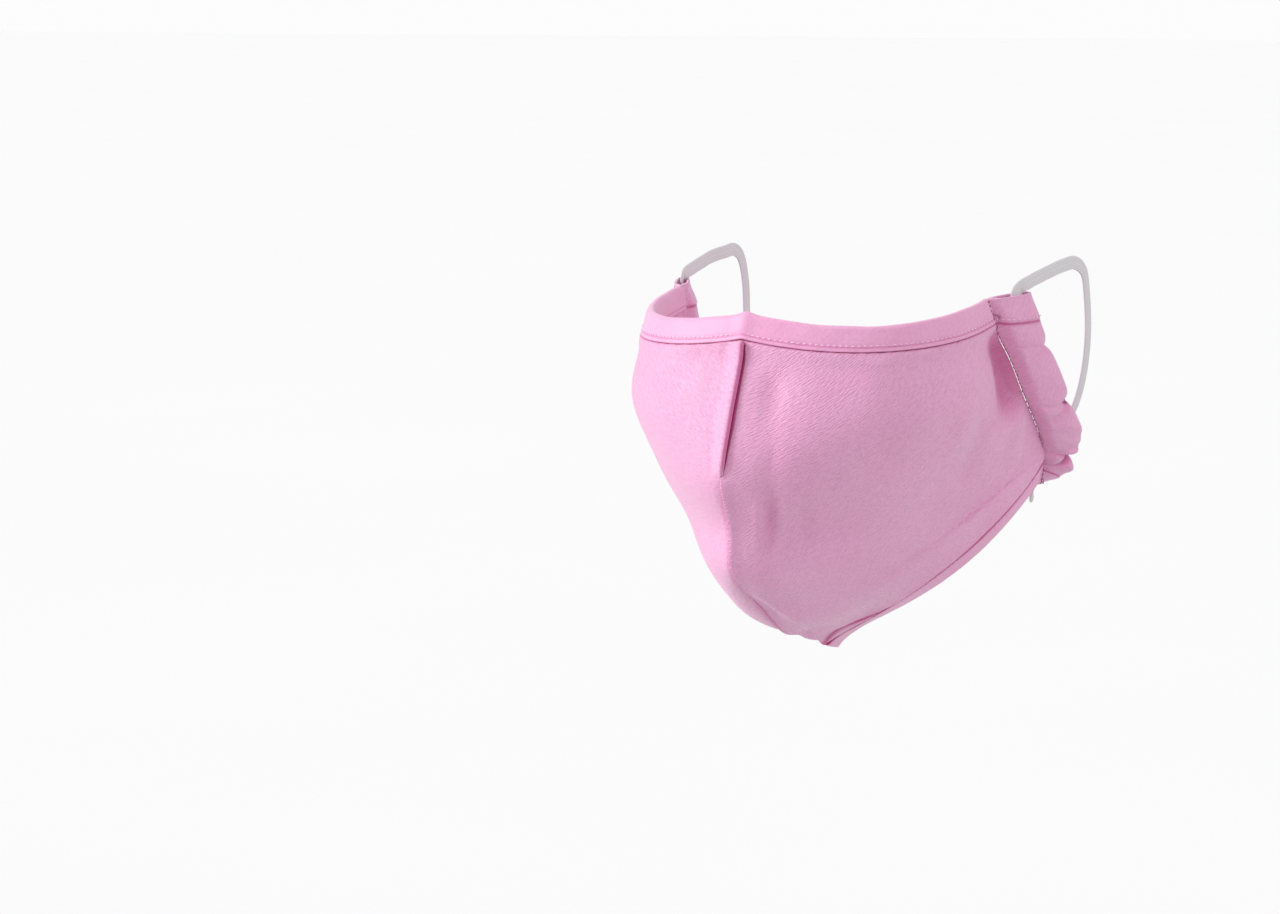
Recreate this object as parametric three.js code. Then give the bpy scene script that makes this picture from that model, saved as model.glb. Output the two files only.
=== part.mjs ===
// A cloth face mask as it is worn: two curved cloth panels that meet in a centre seam, a folded
// binding round the upper and the lower edge, a gathered casing at each side and a flat elastic
// ear loop through each casing. Millimetres, +Z up, the wearer looks towards -Y and +X is the
// wearer's left. The origin is where the upper binding sits on the bridge of the nose.
import * as THREE from "three";

// Driving dimensions
const HALF_WIDTH = 75; // centre plane to the widest place of a side stitch line
const DEPTH = 111; // bridge of the nose back to the lower end of a side stitch line
const HEIGHT = 141; // upper edge at the nose down to the throat tip
const CLOTH = 1.2; // wall of a panel
const GAP = 0.3; // clearance between pieces that touch
const BINDING_WIDTH = 10.3; // folded binding, edge to edge
const BINDING_WALL = 1; // each layer of a binding
const CASING_WALL = 1; // each layer of a side casing
const CASING_START = 0.95; // clearance between a panel and its casing
const CASING_SEWN = 3.5; // closed strip of a casing beside its stitch line
const CASING_ROUNDING = 0.7; // 1 for an oval section, less for a flatter one
const CASING_BAND = 0.5; // how far the bound end of a casing stands proud
const ELASTIC_WIDTH = 5.5;
const ELASTIC_THICKNESS = 1.2;
const ELASTIC_ROOM = 1.1; // clearance over each face of the elastic inside a casing
const CASING_INSET = 1.9; // clearance beside the elastic inside a casing
const MOUTH_LEAD = 2; // straight stretch of the elastic beyond the upper mouth of a casing
const LOWER_LEAD = 2.8; // the same beyond the lower mouth
const MOUTH_SHIFT = 8; // how far the pull of the ear moves the elastic outwards at the upper mouth
const MOUTH_FADE = 4; // how quickly that dies out down the casing
const LOOP_REACH = 30; // how far an ear loop goes behind the side stitch line
const SEAM_LAP = 1.2; // how far one panel's rolled edge reaches over the other at the centre seam
const SEAM_LAPS_FROM = 0.75; // value of SEAM_OVER from which an edge reaches over the other
const SEAM_LIFT = 2.3; // how far that rolled edge stands off
const SEAM_SINK = 0.8; // how far the edge under it is drawn in
const SEAM_ROLL = 7; // width of the roll beside the seam
const FOLD_MARGIN = 5; // strip beside a binding or stitch line in which folds die out
const NOTCH_DEPTH = 3.2; // how far a gather draws in the outer edge of a casing
const PUCKER = 1.7; // how far a casing puffs out between two gathers

// Each row of the worn form runs from the centre seam to the side stitch line, and on to the outer
// edge of the casing. Columns are x, y and z, as shares of HALF_WIDTH, DEPTH and HEIGHT. front and
// cheek are the two handles that round the row over the cheek.
const ROWS = [
  {
    seam: [0, -0.023, 0],
    front: [0.533, -0.009, -0.05],
    cheek: [0.92, 0.18, -0.035],
    side: [0.92, 0.589, 0.018],
    edge: [1.053, 0.77, 0.032],
  },
  {
    seam: [0, -0.079, -0.121],
    front: [0.58, -0.036, -0.142],
    cheek: [0.987, 0.108, -0.142],
    side: [0.947, 0.649, -0.078],
    edge: [1.087, 0.829, -0.078],
  },
  {
    seam: [0, -0.167, -0.284],
    front: [0.6, -0.081, -0.298],
    cheek: [1.067, 0.09, -0.298],
    side: [0.98, 0.721, -0.163],
    edge: [1.12, 0.892, -0.17],
  },
  {
    seam: [0, -0.212, -0.426],
    front: [0.427, -0.135, -0.454],
    cheek: [0.96, 0.198, -0.468],
    side: [1, 0.802, -0.262],
    edge: [1.14, 0.977, -0.27],
  },
  {
    seam: [0, -0.14, -0.567],
    front: [0.32, -0.081, -0.596],
    cheek: [0.8, 0.315, -0.638],
    side: [1, 0.883, -0.33],
    edge: [1.147, 1.054, -0.344],
  },
  {
    seam: [0, -0.126, -0.695],
    front: [0.267, -0.072, -0.738],
    cheek: [0.753, 0.423, -0.66],
    side: [1, 0.937, -0.383],
    edge: [1.133, 1.095, -0.404],
  },
  {
    seam: [0, 0.063, -0.801],
    front: [0.28, 0.054, -0.858],
    cheek: [0.773, 0.541, -0.652],
    side: [0.993, 0.973, -0.426],
    edge: [1.087, 1.113, -0.45],
  },
  {
    seam: [0, 0.297, -0.915],
    front: [0.293, 0.297, -0.929],
    cheek: [0.88, 0.541, -0.61],
    side: [0.973, 0.995, -0.475],
    edge: [0.987, 1.122, -0.505],
  },
  {
    seam: [0, 0.649, -1],
    front: [0.24, 0.613, -0.865],
    cheek: [0.68, 0.62, -0.87],
    side: [0.947, 1, -0.532],
    edge: [0.84, 1.127, -0.553],
  },
];

// The centre seam from the upper edge (at 0) to the throat (at 1): above 0 the right panel's
// rolled edge lies over the left one, below 0 the left one lies over the right.
const SEAM_OVER = [
  { at: 0, over: 0 },
  { at: 0.09, over: 0.5 },
  { at: 0.16, over: 1 },
  { at: 0.34, over: 1 },
  { at: 0.43, over: 0 },
  { at: 0.52, over: -0.8 },
  { at: 0.64, over: -1 },
  { at: 0.86, over: -1 },
  { at: 0.95, over: 0 },
  { at: 1, over: 0 },
];

// Soft folds and dents of each panel: both ends as shares across and down the panel, the height
// as a share of CLOTH and the half width as a share of BINDING_WIDTH.
const FOLDS = {
  left: [
    { from: [0.93, 0.24], to: [0.83, 0.52], height: -2.1, width: 0.75 },
    { from: [0.89, 0.2], to: [0.78, 0.5], height: 1.1, width: 0.8 },
    { from: [0.22, 0.3], to: [0.2, 0.47], height: -1.1, width: 0.6 },
    { from: [0.32, 0.56], to: [0.3, 0.66], height: -0.8, width: 0.6 },
    { from: [0.1, 0.62], to: [0.13, 0.84], height: 1.6, width: 0.7 },
    { from: [0.2, 0.93], to: [0.96, 0.9], height: 1.3, width: 0.5 },
    { from: [0, 0.92], to: [0.2, 0.915], height: -1.8, width: 0.9 },
  ],
  right: [
    { from: [0.93, 0.24], to: [0.83, 0.52], height: -1.8, width: 0.75 },
    { from: [0.14, 0.58], to: [0.12, 0.86], height: 2.6, width: 1 },
    { from: [0.3, 0.2], to: [0.26, 0.44], height: 0.8, width: 1.4 },
    { from: [0.2, 0.93], to: [0.96, 0.9], height: 1.3, width: 0.5 },
    { from: [0, 0.92], to: [0.2, 0.915], height: -1.8, width: 0.9 },
  ],
};

// Gathers of a side casing, from its upper end (at 0) to its lower end (at 1).
const GATHERS = [
  { at: 0.18, depth: 0.5, spread: 0.045 },
  { at: 0.41, depth: 0.8, spread: 0.045 },
  { at: 0.76, depth: 1, spread: 0.045 },
];

// The ear loop outside its casing, from the upper mouth over the ear and back to the lower mouth:
// x and z as shares of HALF_WIDTH and HEIGHT, back as the share of LOOP_REACH behind DEPTH.
const LOOP = [
  { x: 1.02, back: -0.643, z: 0.059 },
  { x: 1.03, back: -0.367, z: 0.07 },
  { x: 1.04, back: -0.1, z: 0.08 },
  { x: 1.04, back: 0.3, z: 0.089 },
  { x: 1.05, back: 0.633, z: 0.091 },
  { x: 1.06, back: 0.867, z: 0.064 },
  { x: 1.06, back: 0.993, z: -0.014 },
  { x: 1.06, back: 1.03, z: -0.128 },
  { x: 1.04, back: 1.01, z: -0.241 },
  { x: 1, back: 0.95, z: -0.333 },
  { x: 0.927, back: 0.85, z: -0.411 },
  { x: 0.847, back: 0.7, z: -0.475 },
  { x: 0.8, back: 0.543, z: -0.525 },
  { x: 0.84, back: 0.42, z: -0.585 },
];

// Mesh steps
const ACROSS = [
  0, 0.012, 0.03, 0.055, 0.09, 0.14, 0.2, 0.27, 0.34, 0.41, 0.48, 0.55, 0.62, 0.69, 0.76, 0.82, 0.88, 0.92,
  0.96, 1,
];
const PANEL_DOWN = 32;
const CASING_STEPS = 30;
const CASING_SIDES = 10;
const LOOP_STOPS = 9; // places where the loop's path is fixed inside its casing
const LOOP_STEPS = 76;
const SAMPLES = 60; // steps of a measured line
const NUDGE = 0.004; // step for a slope, as a share of the surface

const COLOURS = { cloth: 0xe6b4d8, binding: 0xe9b2d8, elastic: 0xf2f0f2 };
const ROUGHNESS = { cloth: 0.75, binding: 0.7, elastic: 0.85 };

const vector = (x, y, z) => new THREE.Vector3(x, y, z);
const clamp01 = (value) => THREE.MathUtils.clamp(value, 0, 1);
const smooth = (value) => THREE.MathUtils.smoothstep(value, 0, 1);

// The line down the mask through one column of ROWS.
function columnCurve(name) {
  const points = ROWS.map((row) => {
    const [x, y, z] = row[name];
    return vector(x * HALF_WIDTH, y * DEPTH, z * HEIGHT);
  });
  return new THREE.CatmullRomCurve3(points, false, "catmullrom", 0.5);
}

const COLUMN = {
  seam: columnCurve("seam"),
  front: columnCurve("front"),
  cheek: columnCurve("cheek"),
  side: columnCurve("side"),
  edge: columnCurve("edge"),
};

// A point of the smooth worn form: across from -1 (right stitch line) over 0 (centre) to 1 (left).
function formPoint(across, down) {
  const v = clamp01(down);
  const row = new THREE.CubicBezierCurve3(
    COLUMN.seam.getPoint(v),
    COLUMN.front.getPoint(v),
    COLUMN.cheek.getPoint(v),
    COLUMN.side.getPoint(v),
  );
  const point = row.getPoint(Math.min(Math.abs(across), 1));
  if (across < 0) point.x = -point.x;
  return point;
}

// The outward direction of the smooth form.
function formNormal(across, down) {
  const left = Math.min(across + NUDGE, 1);
  const right = Math.max(across - NUDGE, -1);
  const alongRow = formPoint(left, down).sub(formPoint(right, down));
  const alongColumn = formPoint(across, down + NUDGE).sub(formPoint(across, down - NUDGE));
  return alongRow.cross(alongColumn).negate().normalize();
}

// The lengths down the form at one place across, for finding a place by its distance.
function measureColumn(across) {
  const lengths = [0];
  let last = formPoint(across, 0);
  for (let i = 1; i <= SAMPLES; i++) {
    const next = formPoint(across, i / SAMPLES);
    lengths.push(lengths[i - 1] + next.distanceTo(last));
    last = next;
  }
  return lengths;
}

function shareAt(lengths, distance) {
  const wanted = THREE.MathUtils.clamp(distance, 0, lengths[SAMPLES]);
  let i = 1;
  while (i < SAMPLES && lengths[i] < wanted) i++;
  return (i - 1 + (wanted - lengths[i - 1]) / (lengths[i] - lengths[i - 1])) / SAMPLES;
}

// A value between the rows of a table with an "at" column.
function tableValue(table, column, at) {
  const i = Math.max(1, table.findIndex((row) => row.at >= at));
  const [before, after] = [table[i - 1], table[i]];
  const share = smooth((at - before.at) / (after.at - before.at));
  return THREE.MathUtils.lerp(before[column], after[column], share);
}

// One closed body from rings of equally many points. An open run of rings is capped by joining
// each ring's first half to its second half.
function ringSolid(rings, loop = false) {
  const size = rings[0].length;
  const index = [];
  const quad = (a, b, c, d) => index.push(a, b, c, a, c, d);
  rings.forEach((ring, i) => {
    if (!loop && i === rings.length - 1) return;
    const here = i * size;
    const next = ((i + 1) % rings.length) * size;
    ring.forEach((_, k) => {
      const after = (k + 1) % size;
      quad(here + k, here + after, next + after, next + k);
    });
  });
  if (!loop) {
    const last = (rings.length - 1) * size;
    for (let k = 0; k < size / 2 - 1; k++) {
      const [a, b, c, d] = [k, k + 1, size - 2 - k, size - 1 - k];
      quad(d, c, b, a);
      quad(last + a, last + b, last + c, last + d);
    }
  }
  return closedGeometry(rings.flat(), index);
}

// One open-ended tube with a wall, from its outer and its inner rings.
function tubeSolid(outer, inner) {
  const size = outer[0].length;
  const start = outer.length * size;
  const index = [];
  const quad = (a, b, c, d) => index.push(a, b, c, a, c, d);
  outer.forEach((ring, i) => {
    ring.forEach((_, k) => {
      const after = (k + 1) % size;
      const here = i * size;
      const next = here + size;
      if (i < outer.length - 1) {
        quad(here + k, here + after, next + after, next + k);
        quad(start + here + after, start + here + k, start + next + k, start + next + after);
      } else {
        quad(here + k, here + after, start + here + after, start + here + k);
      }
      if (i === 0) quad(after, k, start + k, start + after);
    });
  });
  return closedGeometry([...outer.flat(), ...inner.flat()], index);
}

// A geometry whose faces point out, whichever way its points were laid.
function closedGeometry(points, index) {
  let volume = 0;
  for (let i = 0; i < index.length; i += 3) {
    const [a, b, c] = [points[index[i]], points[index[i + 1]], points[index[i + 2]]];
    volume += a.dot(b.clone().cross(c));
  }
  const faces = volume < 0 ? index.slice().reverse() : index;
  const geometry = new THREE.BufferGeometry().setFromPoints(points);
  geometry.setIndex(faces);
  geometry.computeVertexNormals();
  return geometry;
}

function makeMesh(name, geometry, finish) {
  const material = new THREE.MeshStandardMaterial({
    color: COLOURS[finish],
    roughness: ROUGHNESS[finish],
    metalness: 0,
  });
  const mesh = new THREE.Mesh(geometry, material);
  mesh.name = name;
  return mesh;
}

// How far the folds of a panel stand off the smooth form at a point.
function foldHeight(folds, point) {
  return folds.reduce((sum, fold) => {
    const line = new THREE.Line3(fold.start, fold.end);
    const nearest = line.closestPointToPoint(point, true, vector(0, 0, 0));
    const reach = nearest.distanceTo(point) / fold.reach;
    return sum + fold.height * CLOTH * Math.exp(-reach * reach);
  }, 0);
}

// The folds of one panel with their ends in space.
function placedFolds(name, side) {
  return FOLDS[name].map((fold) => ({
    start: formPoint(side * fold.from[0], fold.from[1]),
    end: formPoint(side * fold.to[0], fold.to[1]),
    reach: fold.width * BINDING_WIDTH,
    height: fold.height,
  }));
}

// Keeps a point of a panel that doesn't lap clear of the centre plane.
function keepToSide(point, side) {
  point.x = side * Math.max(side * point.x, GAP / 2);
}

// The distance down a column of each row of a panel: the first two rows and the last two lie in
// the folds of the bindings, the others between the bindings.
function panelDistance(row, total) {
  const bound = BINDING_WIDTH + GAP;
  const inFold = [BINDING_WALL + GAP, BINDING_WIDTH / 2];
  const fromEnd = PANEL_DOWN - row;
  if (row < inFold.length) return inFold[row];
  if (fromEnd < inFold.length) return total - inFold[fromEnd];
  const share = (row - inFold.length) / (PANEL_DOWN - 2 * inFold.length);
  return THREE.MathUtils.lerp(bound, total - bound, share);
}

// A cloth panel, from just inside the fold of one binding to the other.
function makePanel(name, side) {
  const folds = placedFolds(name, side);
  const rowLength = formPoint(0, 0.5).distanceTo(formPoint(1, 0.5));
  const rings = [];
  for (let j = 0; j <= PANEL_DOWN; j++) {
    const outside = [];
    const inside = [];
    ACROSS.forEach((step) => {
      const lengths = measureColumn(step);
      const total = lengths[SAMPLES];
      const distance = panelDistance(j, total);
      const down = shareAt(lengths, distance);
      const fade = smooth((Math.min(distance, total - distance) - BINDING_WIDTH - GAP) / FOLD_MARGIN);
      const over = -side * fade * tableValue(SEAM_OVER, "over", down);
      const lap = over > 0 ? SEAM_LAP * smooth((over - SEAM_LAPS_FROM) / (1 - SEAM_LAPS_FROM)) : 0;
      const start = (GAP / 2 - lap) / rowLength;
      const across = THREE.MathUtils.lerp(start, 1, step);
      const point = formPoint(side * across, down);
      const normal = formNormal(side * across, down);
      const fromSeam = Math.abs(step) * rowLength;
      const roll = Math.exp(-((fromSeam / SEAM_ROLL) ** 2));
      const lift = roll * over * (over > 0 ? SEAM_LIFT : SEAM_SINK);
      const stitched = smooth(((1 - step) * rowLength) / FOLD_MARGIN);
      const height = lift + fade * stitched * foldHeight(folds, point);
      const outer = point.clone().addScaledVector(normal, height);
      const inner = point.clone().addScaledVector(normal, height - CLOTH);
      if (lap === 0) [outer, inner].forEach((item) => keepToSide(item, side));
      outside.push(outer);
      inside.unshift(inner);
    });
    rings.push([...outside, ...inside]);
  }
  return makeMesh("panel_" + name, ringSolid(rings), "cloth");
}

// The folded strip round an edge: down its outer layer and up its inner layer, as distances from
// the folded edge and heights off the outside of the panel.
function bindingProfile() {
  const outer = GAP + BINDING_WALL;
  const inner = -CLOTH - outer;
  const rounding = BINDING_WALL / 2;
  const corner = BINDING_WALL + rounding;
  return [
    { from: BINDING_WIDTH, height: outer },
    { from: BINDING_WIDTH / 2, height: outer },
    { from: rounding, height: outer },
    { from: 0, height: outer - BINDING_WALL },
    { from: 0, height: inner + BINDING_WALL },
    { from: rounding, height: inner },
    { from: BINDING_WIDTH / 2, height: inner },
    { from: BINDING_WIDTH, height: inner },
    { from: BINDING_WIDTH, height: inner + BINDING_WALL },
    { from: BINDING_WIDTH / 2, height: inner + BINDING_WALL },
    { from: corner, height: inner + BINDING_WALL },
    { from: BINDING_WALL, height: inner + corner },
    { from: BINDING_WALL, height: outer - corner },
    { from: corner, height: outer - BINDING_WALL },
    { from: BINDING_WIDTH / 2, height: outer - BINDING_WALL },
    { from: BINDING_WIDTH, height: outer - BINDING_WALL },
  ];
}

// One continuous binding from the right stitch line over the centre to the left one.
function makeBinding(name, fromTop) {
  const profile = bindingProfile();
  const places = [...ACROSS.slice(1).reverse().map((step) => -step), ...ACROSS];
  const rings = places.map((across) => {
    const lengths = measureColumn(across);
    const total = lengths[SAMPLES];
    return profile.map(({ from, height }) => {
      const down = shareAt(lengths, fromTop ? from : total - from);
      return formPoint(across, down).addScaledVector(formNormal(across, down), height);
    });
  });
  return makeMesh(name, ringSolid(rings), "binding");
}

// The frame of a casing's section: its place on the stitch line, the direction to its outer edge,
// the outward direction and its width, drawn in where it is gathered.
function casingFrame(side, down) {
  const stitch = COLUMN.side.getPoint(down);
  const edge = COLUMN.edge.getPoint(down);
  const along = COLUMN.side.getTangent(down);
  const outwards = edge.clone().sub(stitch);
  const notch = GATHERS.reduce((sum, gather) => {
    const away = (down - gather.at) / gather.spread;
    return sum + gather.depth * Math.exp(-away * away);
  }, 0);
  const width = outwards.length() - NOTCH_DEPTH * notch;
  outwards.normalize();
  const normal = along.cross(outwards).normalize();
  if (normal.x < 0) normal.negate();
  [stitch, outwards, normal].forEach((item) => {
    item.x *= side;
  });
  return { stitch, outwards, normal, width, puff: PUCKER * clamp01(1 - notch) };
}

// A ring round a casing's section between two distances from the stitch line.
function casingRing({ stitch, outwards, normal }, near, far, halfHeight) {
  const middle = (near + far) / 2;
  const half = (far - near) / 2;
  return Array.from({ length: CASING_SIDES }, (_, k) => {
    const angle = (2 * Math.PI * k) / CASING_SIDES;
    const rise = Math.sign(Math.sin(angle)) * Math.abs(Math.sin(angle)) ** CASING_ROUNDING;
    return stitch
      .clone()
      .addScaledVector(outwards, middle - half * Math.cos(angle))
      .addScaledVector(normal, rise * halfHeight - CLOTH / 2);
  });
}

// A gathered casing: a flat tube of cloth from the stitch line to the scalloped outer edge.
function makeCasing(name, side) {
  const outer = [];
  const inner = [];
  const length = COLUMN.side.getLength();
  const room = ELASTIC_THICKNESS / 2 + ELASTIC_ROOM;
  for (let i = 0; i <= CASING_STEPS; i++) {
    const down = i / CASING_STEPS;
    const frame = casingFrame(side, down);
    const fromEnd = Math.min(down, 1 - down) * length;
    const open = smooth(fromEnd / BINDING_WIDTH);
    const puff = frame.puff * open;
    const band = fromEnd < BINDING_WIDTH ? CASING_BAND : 0;
    const hollow = room + puff;
    outer.push(casingRing(frame, CASING_START, frame.width, hollow + CASING_WALL + band));
    inner.push(casingRing(frame, CASING_SEWN, frame.width - CASING_WALL, hollow));
  }
  return makeMesh("side_casing_" + name, tubeSolid(outer, inner), "cloth");
}

// A place on the middle of the elastic in its casing, or a little way beyond a mouth.
function casingStop(side, down, lead) {
  const frame = casingFrame(side, down);
  const along = COLUMN.side.getTangent(down);
  along.x *= side;
  const pulled = MOUTH_SHIFT * (1 - down) ** MOUTH_FADE;
  const beside = CASING_SEWN + ELASTIC_WIDTH / 2 + CASING_INSET + pulled;
  const point = frame.stitch.addScaledVector(frame.outwards, beside);
  point.addScaledVector(frame.normal, -CLOTH / 2).addScaledVector(along, lead);
  return { point, flat: frame.normal };
}

// A flat elastic band, one closed loop through the casing and round behind the ear.
function makeEarLoop(name, side) {
  const inCasing = Array.from({ length: LOOP_STOPS }, (_, i) =>
    casingStop(side, 1 - (i + 0.5) / LOOP_STOPS, 0),
  );
  const outside = LOOP.map(({ x, back, z }) => ({
    point: vector(side * x * HALF_WIDTH, DEPTH + back * LOOP_REACH, z * HEIGHT),
    flat: vector(side, 0, 0),
  }));
  const [lower, upper] = [casingStop(side, 1, LOWER_LEAD), casingStop(side, 0, -MOUTH_LEAD)];
  const stops = [lower, ...inCasing, upper, ...outside];
  const path = new THREE.CatmullRomCurve3(stops.map((stop) => stop.point), true, "centripetal");
  const flats = new THREE.CatmullRomCurve3(stops.map((stop) => stop.flat), true, "centripetal");
  const rings = [];
  for (let i = 0; i < LOOP_STEPS; i++) {
    const share = i / LOOP_STEPS;
    const middle = path.getPoint(share);
    const along = path.getTangent(share);
    const across = flats.getPoint(share).cross(along).normalize().multiplyScalar(ELASTIC_WIDTH / 2);
    const thick = across.clone().cross(along).normalize().multiplyScalar(ELASTIC_THICKNESS / 2);
    rings.push(
      [[1, 1], [-1, 1], [-1, -1], [1, -1]].map(([a, b]) =>
        middle.clone().addScaledVector(across, a).addScaledVector(thick, b),
      ),
    );
  }
  return makeMesh("ear_loop_" + name, ringSolid(rings, true), "elastic");
}

const mask = new THREE.Group();
mask.add(makeBinding("top_binding", true));
mask.add(makeBinding("bottom_binding", false));
for (const [name, side] of [["left", 1], ["right", -1]]) {
  mask.add(makePanel(name, side));
  mask.add(makeCasing(name, side));
  mask.add(makeEarLoop(name, side));
}

export default mask;
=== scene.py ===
"""A pink cloth face mask as it is worn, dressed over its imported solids.

Metres, +Z up. The front is towards -Y, and +X is the left side as it is worn. The origin is just
behind the middle of the upper edge.
"""

import logging
import math
from dataclasses import dataclass, field
from enum import Enum

import bpy
import numpy as np
from mathutils import Matrix, Vector


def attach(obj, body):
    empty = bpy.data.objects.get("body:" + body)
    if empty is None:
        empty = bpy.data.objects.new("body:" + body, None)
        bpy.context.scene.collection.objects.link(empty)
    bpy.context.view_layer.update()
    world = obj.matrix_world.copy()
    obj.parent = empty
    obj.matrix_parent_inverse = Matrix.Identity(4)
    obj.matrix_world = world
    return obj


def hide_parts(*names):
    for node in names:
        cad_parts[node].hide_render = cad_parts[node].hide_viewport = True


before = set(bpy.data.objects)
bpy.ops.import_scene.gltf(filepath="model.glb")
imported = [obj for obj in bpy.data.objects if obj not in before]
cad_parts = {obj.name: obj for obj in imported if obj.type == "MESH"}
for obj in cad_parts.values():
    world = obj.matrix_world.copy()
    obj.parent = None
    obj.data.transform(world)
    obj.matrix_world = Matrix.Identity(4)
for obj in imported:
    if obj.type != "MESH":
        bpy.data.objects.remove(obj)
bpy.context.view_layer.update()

LOG = logging.getLogger("face_mask")
UV_NAME = "cloth"
# The point attribute of painted shade: how much of a deep tone each point takes in creases, hollows
# and beside edges
PAINTED_SHADE = "painted_shade"
BODY = "root"

# Sizes of the sewn mask, the same as its solids
HALF_WIDTH = 0.075  # centre plane to the widest place of a side stitch line
DEPTH = 0.111  # origin back to the lower end of a side stitch line
HEIGHT = 0.141  # middle of the upper edge down to the lower tip
CLOTH = 0.0012  # wall of a panel
GAP = 0.0003  # clearance between pieces that touch
BINDING_WIDTH = 0.0103  # folded binding, edge to edge
BINDING_WALL = 0.001  # each layer of a binding
CASING_WALL = 0.001  # each layer of a side casing
ELASTIC_WIDTH = 0.0055
ELASTIC_THICKNESS = 0.0012
LOOP_REACH = 0.03  # how far an ear loop goes behind the side stitch line

Triple = tuple[float, float, float]
Pair = tuple[float, float]
Colour = tuple[float, float, float, float]

WHITE: Colour = (1.0, 1.0, 1.0, 1.0)
WAVE_TURN = 20.0  # radians that Blender's wave pattern turns through in a unit
NOISE_RANGE: Pair = (0.3, 0.7)  # where nearly all of a noise pattern's values lie
NOISE_MIDDLE: Pair = (0.35, 0.65)  # where most of them lie


class Side(Enum):
    """Which half of the mask a piece belongs to; the value is the sign of its x."""

    LEFT = 1
    RIGHT = -1

    @property
    def word(self) -> str:
        """The side's name in small letters."""
        return self.name.lower()


class Edge(Enum):
    """The edge of the mask that a binding closes."""

    TOP = "top"
    BOTTOM = "bottom"


@dataclass(frozen=True)
class FormRow:
    """One row of the worn form, as shares of HALF_WIDTH, DEPTH and HEIGHT."""

    seam: Triple
    front: Triple
    cheek: Triple
    side: Triple
    edge: Triple


# From the upper edge down to the lower tip
FORM_ROWS = (
    FormRow(
        seam=(0, -0.023, 0), front=(0.533, -0.009, -0.05), cheek=(0.92, 0.18, -0.035),
        side=(0.92, 0.589, 0.018), edge=(1.053, 0.77, 0.032),
    ),
    FormRow(
        seam=(0, -0.079, -0.121), front=(0.58, -0.036, -0.142), cheek=(0.987, 0.108, -0.142),
        side=(0.947, 0.649, -0.078), edge=(1.087, 0.829, -0.078),
    ),
    FormRow(
        seam=(0, -0.167, -0.284), front=(0.6, -0.081, -0.298), cheek=(1.067, 0.09, -0.298),
        side=(0.98, 0.721, -0.163), edge=(1.12, 0.892, -0.17),
    ),
    FormRow(
        seam=(0, -0.212, -0.426), front=(0.427, -0.135, -0.454), cheek=(0.96, 0.198, -0.468),
        side=(1, 0.802, -0.262), edge=(1.14, 0.977, -0.27),
    ),
    FormRow(
        seam=(0, -0.14, -0.567), front=(0.32, -0.081, -0.596), cheek=(0.8, 0.315, -0.638),
        side=(1, 0.883, -0.33), edge=(1.147, 1.054, -0.344),
    ),
    FormRow(
        seam=(0, -0.126, -0.695), front=(0.267, -0.072, -0.738), cheek=(0.753, 0.423, -0.66),
        side=(1, 0.937, -0.383), edge=(1.133, 1.095, -0.404),
    ),
    FormRow(
        seam=(0, 0.063, -0.801), front=(0.28, 0.054, -0.858), cheek=(0.773, 0.541, -0.652),
        side=(0.993, 0.973, -0.426), edge=(1.087, 1.113, -0.45),
    ),
    FormRow(
        seam=(0, 0.297, -0.915), front=(0.293, 0.297, -0.929), cheek=(0.88, 0.541, -0.61),
        side=(0.973, 0.995, -0.475), edge=(0.987, 1.122, -0.505),
    ),
    FormRow(
        seam=(0, 0.649, -1), front=(0.24, 0.613, -0.865), cheek=(0.68, 0.62, -0.87),
        side=(0.947, 1, -0.532), edge=(0.84, 1.127, -0.553),
    ),
)


@dataclass(frozen=True)
class SeamPlace:
    """How the two panels meet at one share down the centre seam.

    over is 1 where the right panel's rolled edge stands over the left one and -1 where the left
    one stands over the right. lap is a share of SEAM_LAP, and dark a share of SEAM_SHADE.
    """

    at: float
    over: float
    lap: float
    dark: float


SEAM_LAP = 0.0012  # how far one panel's rolled edge reaches over the other
SEAM_SHADE = 0.0017  # how far the painted shade shows beside a rolled edge
SEAM_SINK = {Side.LEFT: 0.0005, Side.RIGHT: 0.0017}  # how far the covered panel drops
SEAM_GROOVE = {Side.LEFT: 0.0001, Side.RIGHT: 0.0005}  # the soft dent behind a rolled edge
SEAM = (
    SeamPlace(0, 1, 0.9, 0.15),
    SeamPlace(0.07, 1, 0.9, 0.2),
    SeamPlace(0.13, 1, 1, 0.85),
    SeamPlace(0.26, 1, 1, 1),
    SeamPlace(0.34, 1, 1, 0.7),
    SeamPlace(0.365, 0.5, 0.6, 0.4),
    SeamPlace(0.378, 0, 0, 0.2),
    SeamPlace(0.4, -0.4, 0.4, 0.4),
    SeamPlace(0.45, -0.62, 0.5, 0.6),
    SeamPlace(0.56, -0.64, 0.5, 0.7),
    SeamPlace(0.62, -0.64, 0.5, 0.7),
    SeamPlace(0.642, -0.6, 0.4, 0.8),
    SeamPlace(0.68, -0.7, 0.6, 0.5),
    SeamPlace(0.74, -0.9, 0.9, 1),
    SeamPlace(0.78, -1, 1.3, 1.8),
    SeamPlace(0.87, -1, 1.3, 1.8),
    SeamPlace(0.92, -0.8, 0.8, 1.4),
    SeamPlace(0.96, 0, 0, 0),
    SeamPlace(1, 0, 0, 0),
)


@dataclass(frozen=True)
class Fold:
    """A soft fold or dent between two places of a panel, fading towards both.

    The ends are shares across and down the panel, the height is a share of CLOTH and the half width
    a share of BINDING_WIDTH. The last value says how much painted shade darkens the fold's hollow.
    """

    start: Pair
    end: Pair
    height: float
    width: float
    painted_shade: float = 0.0


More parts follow.
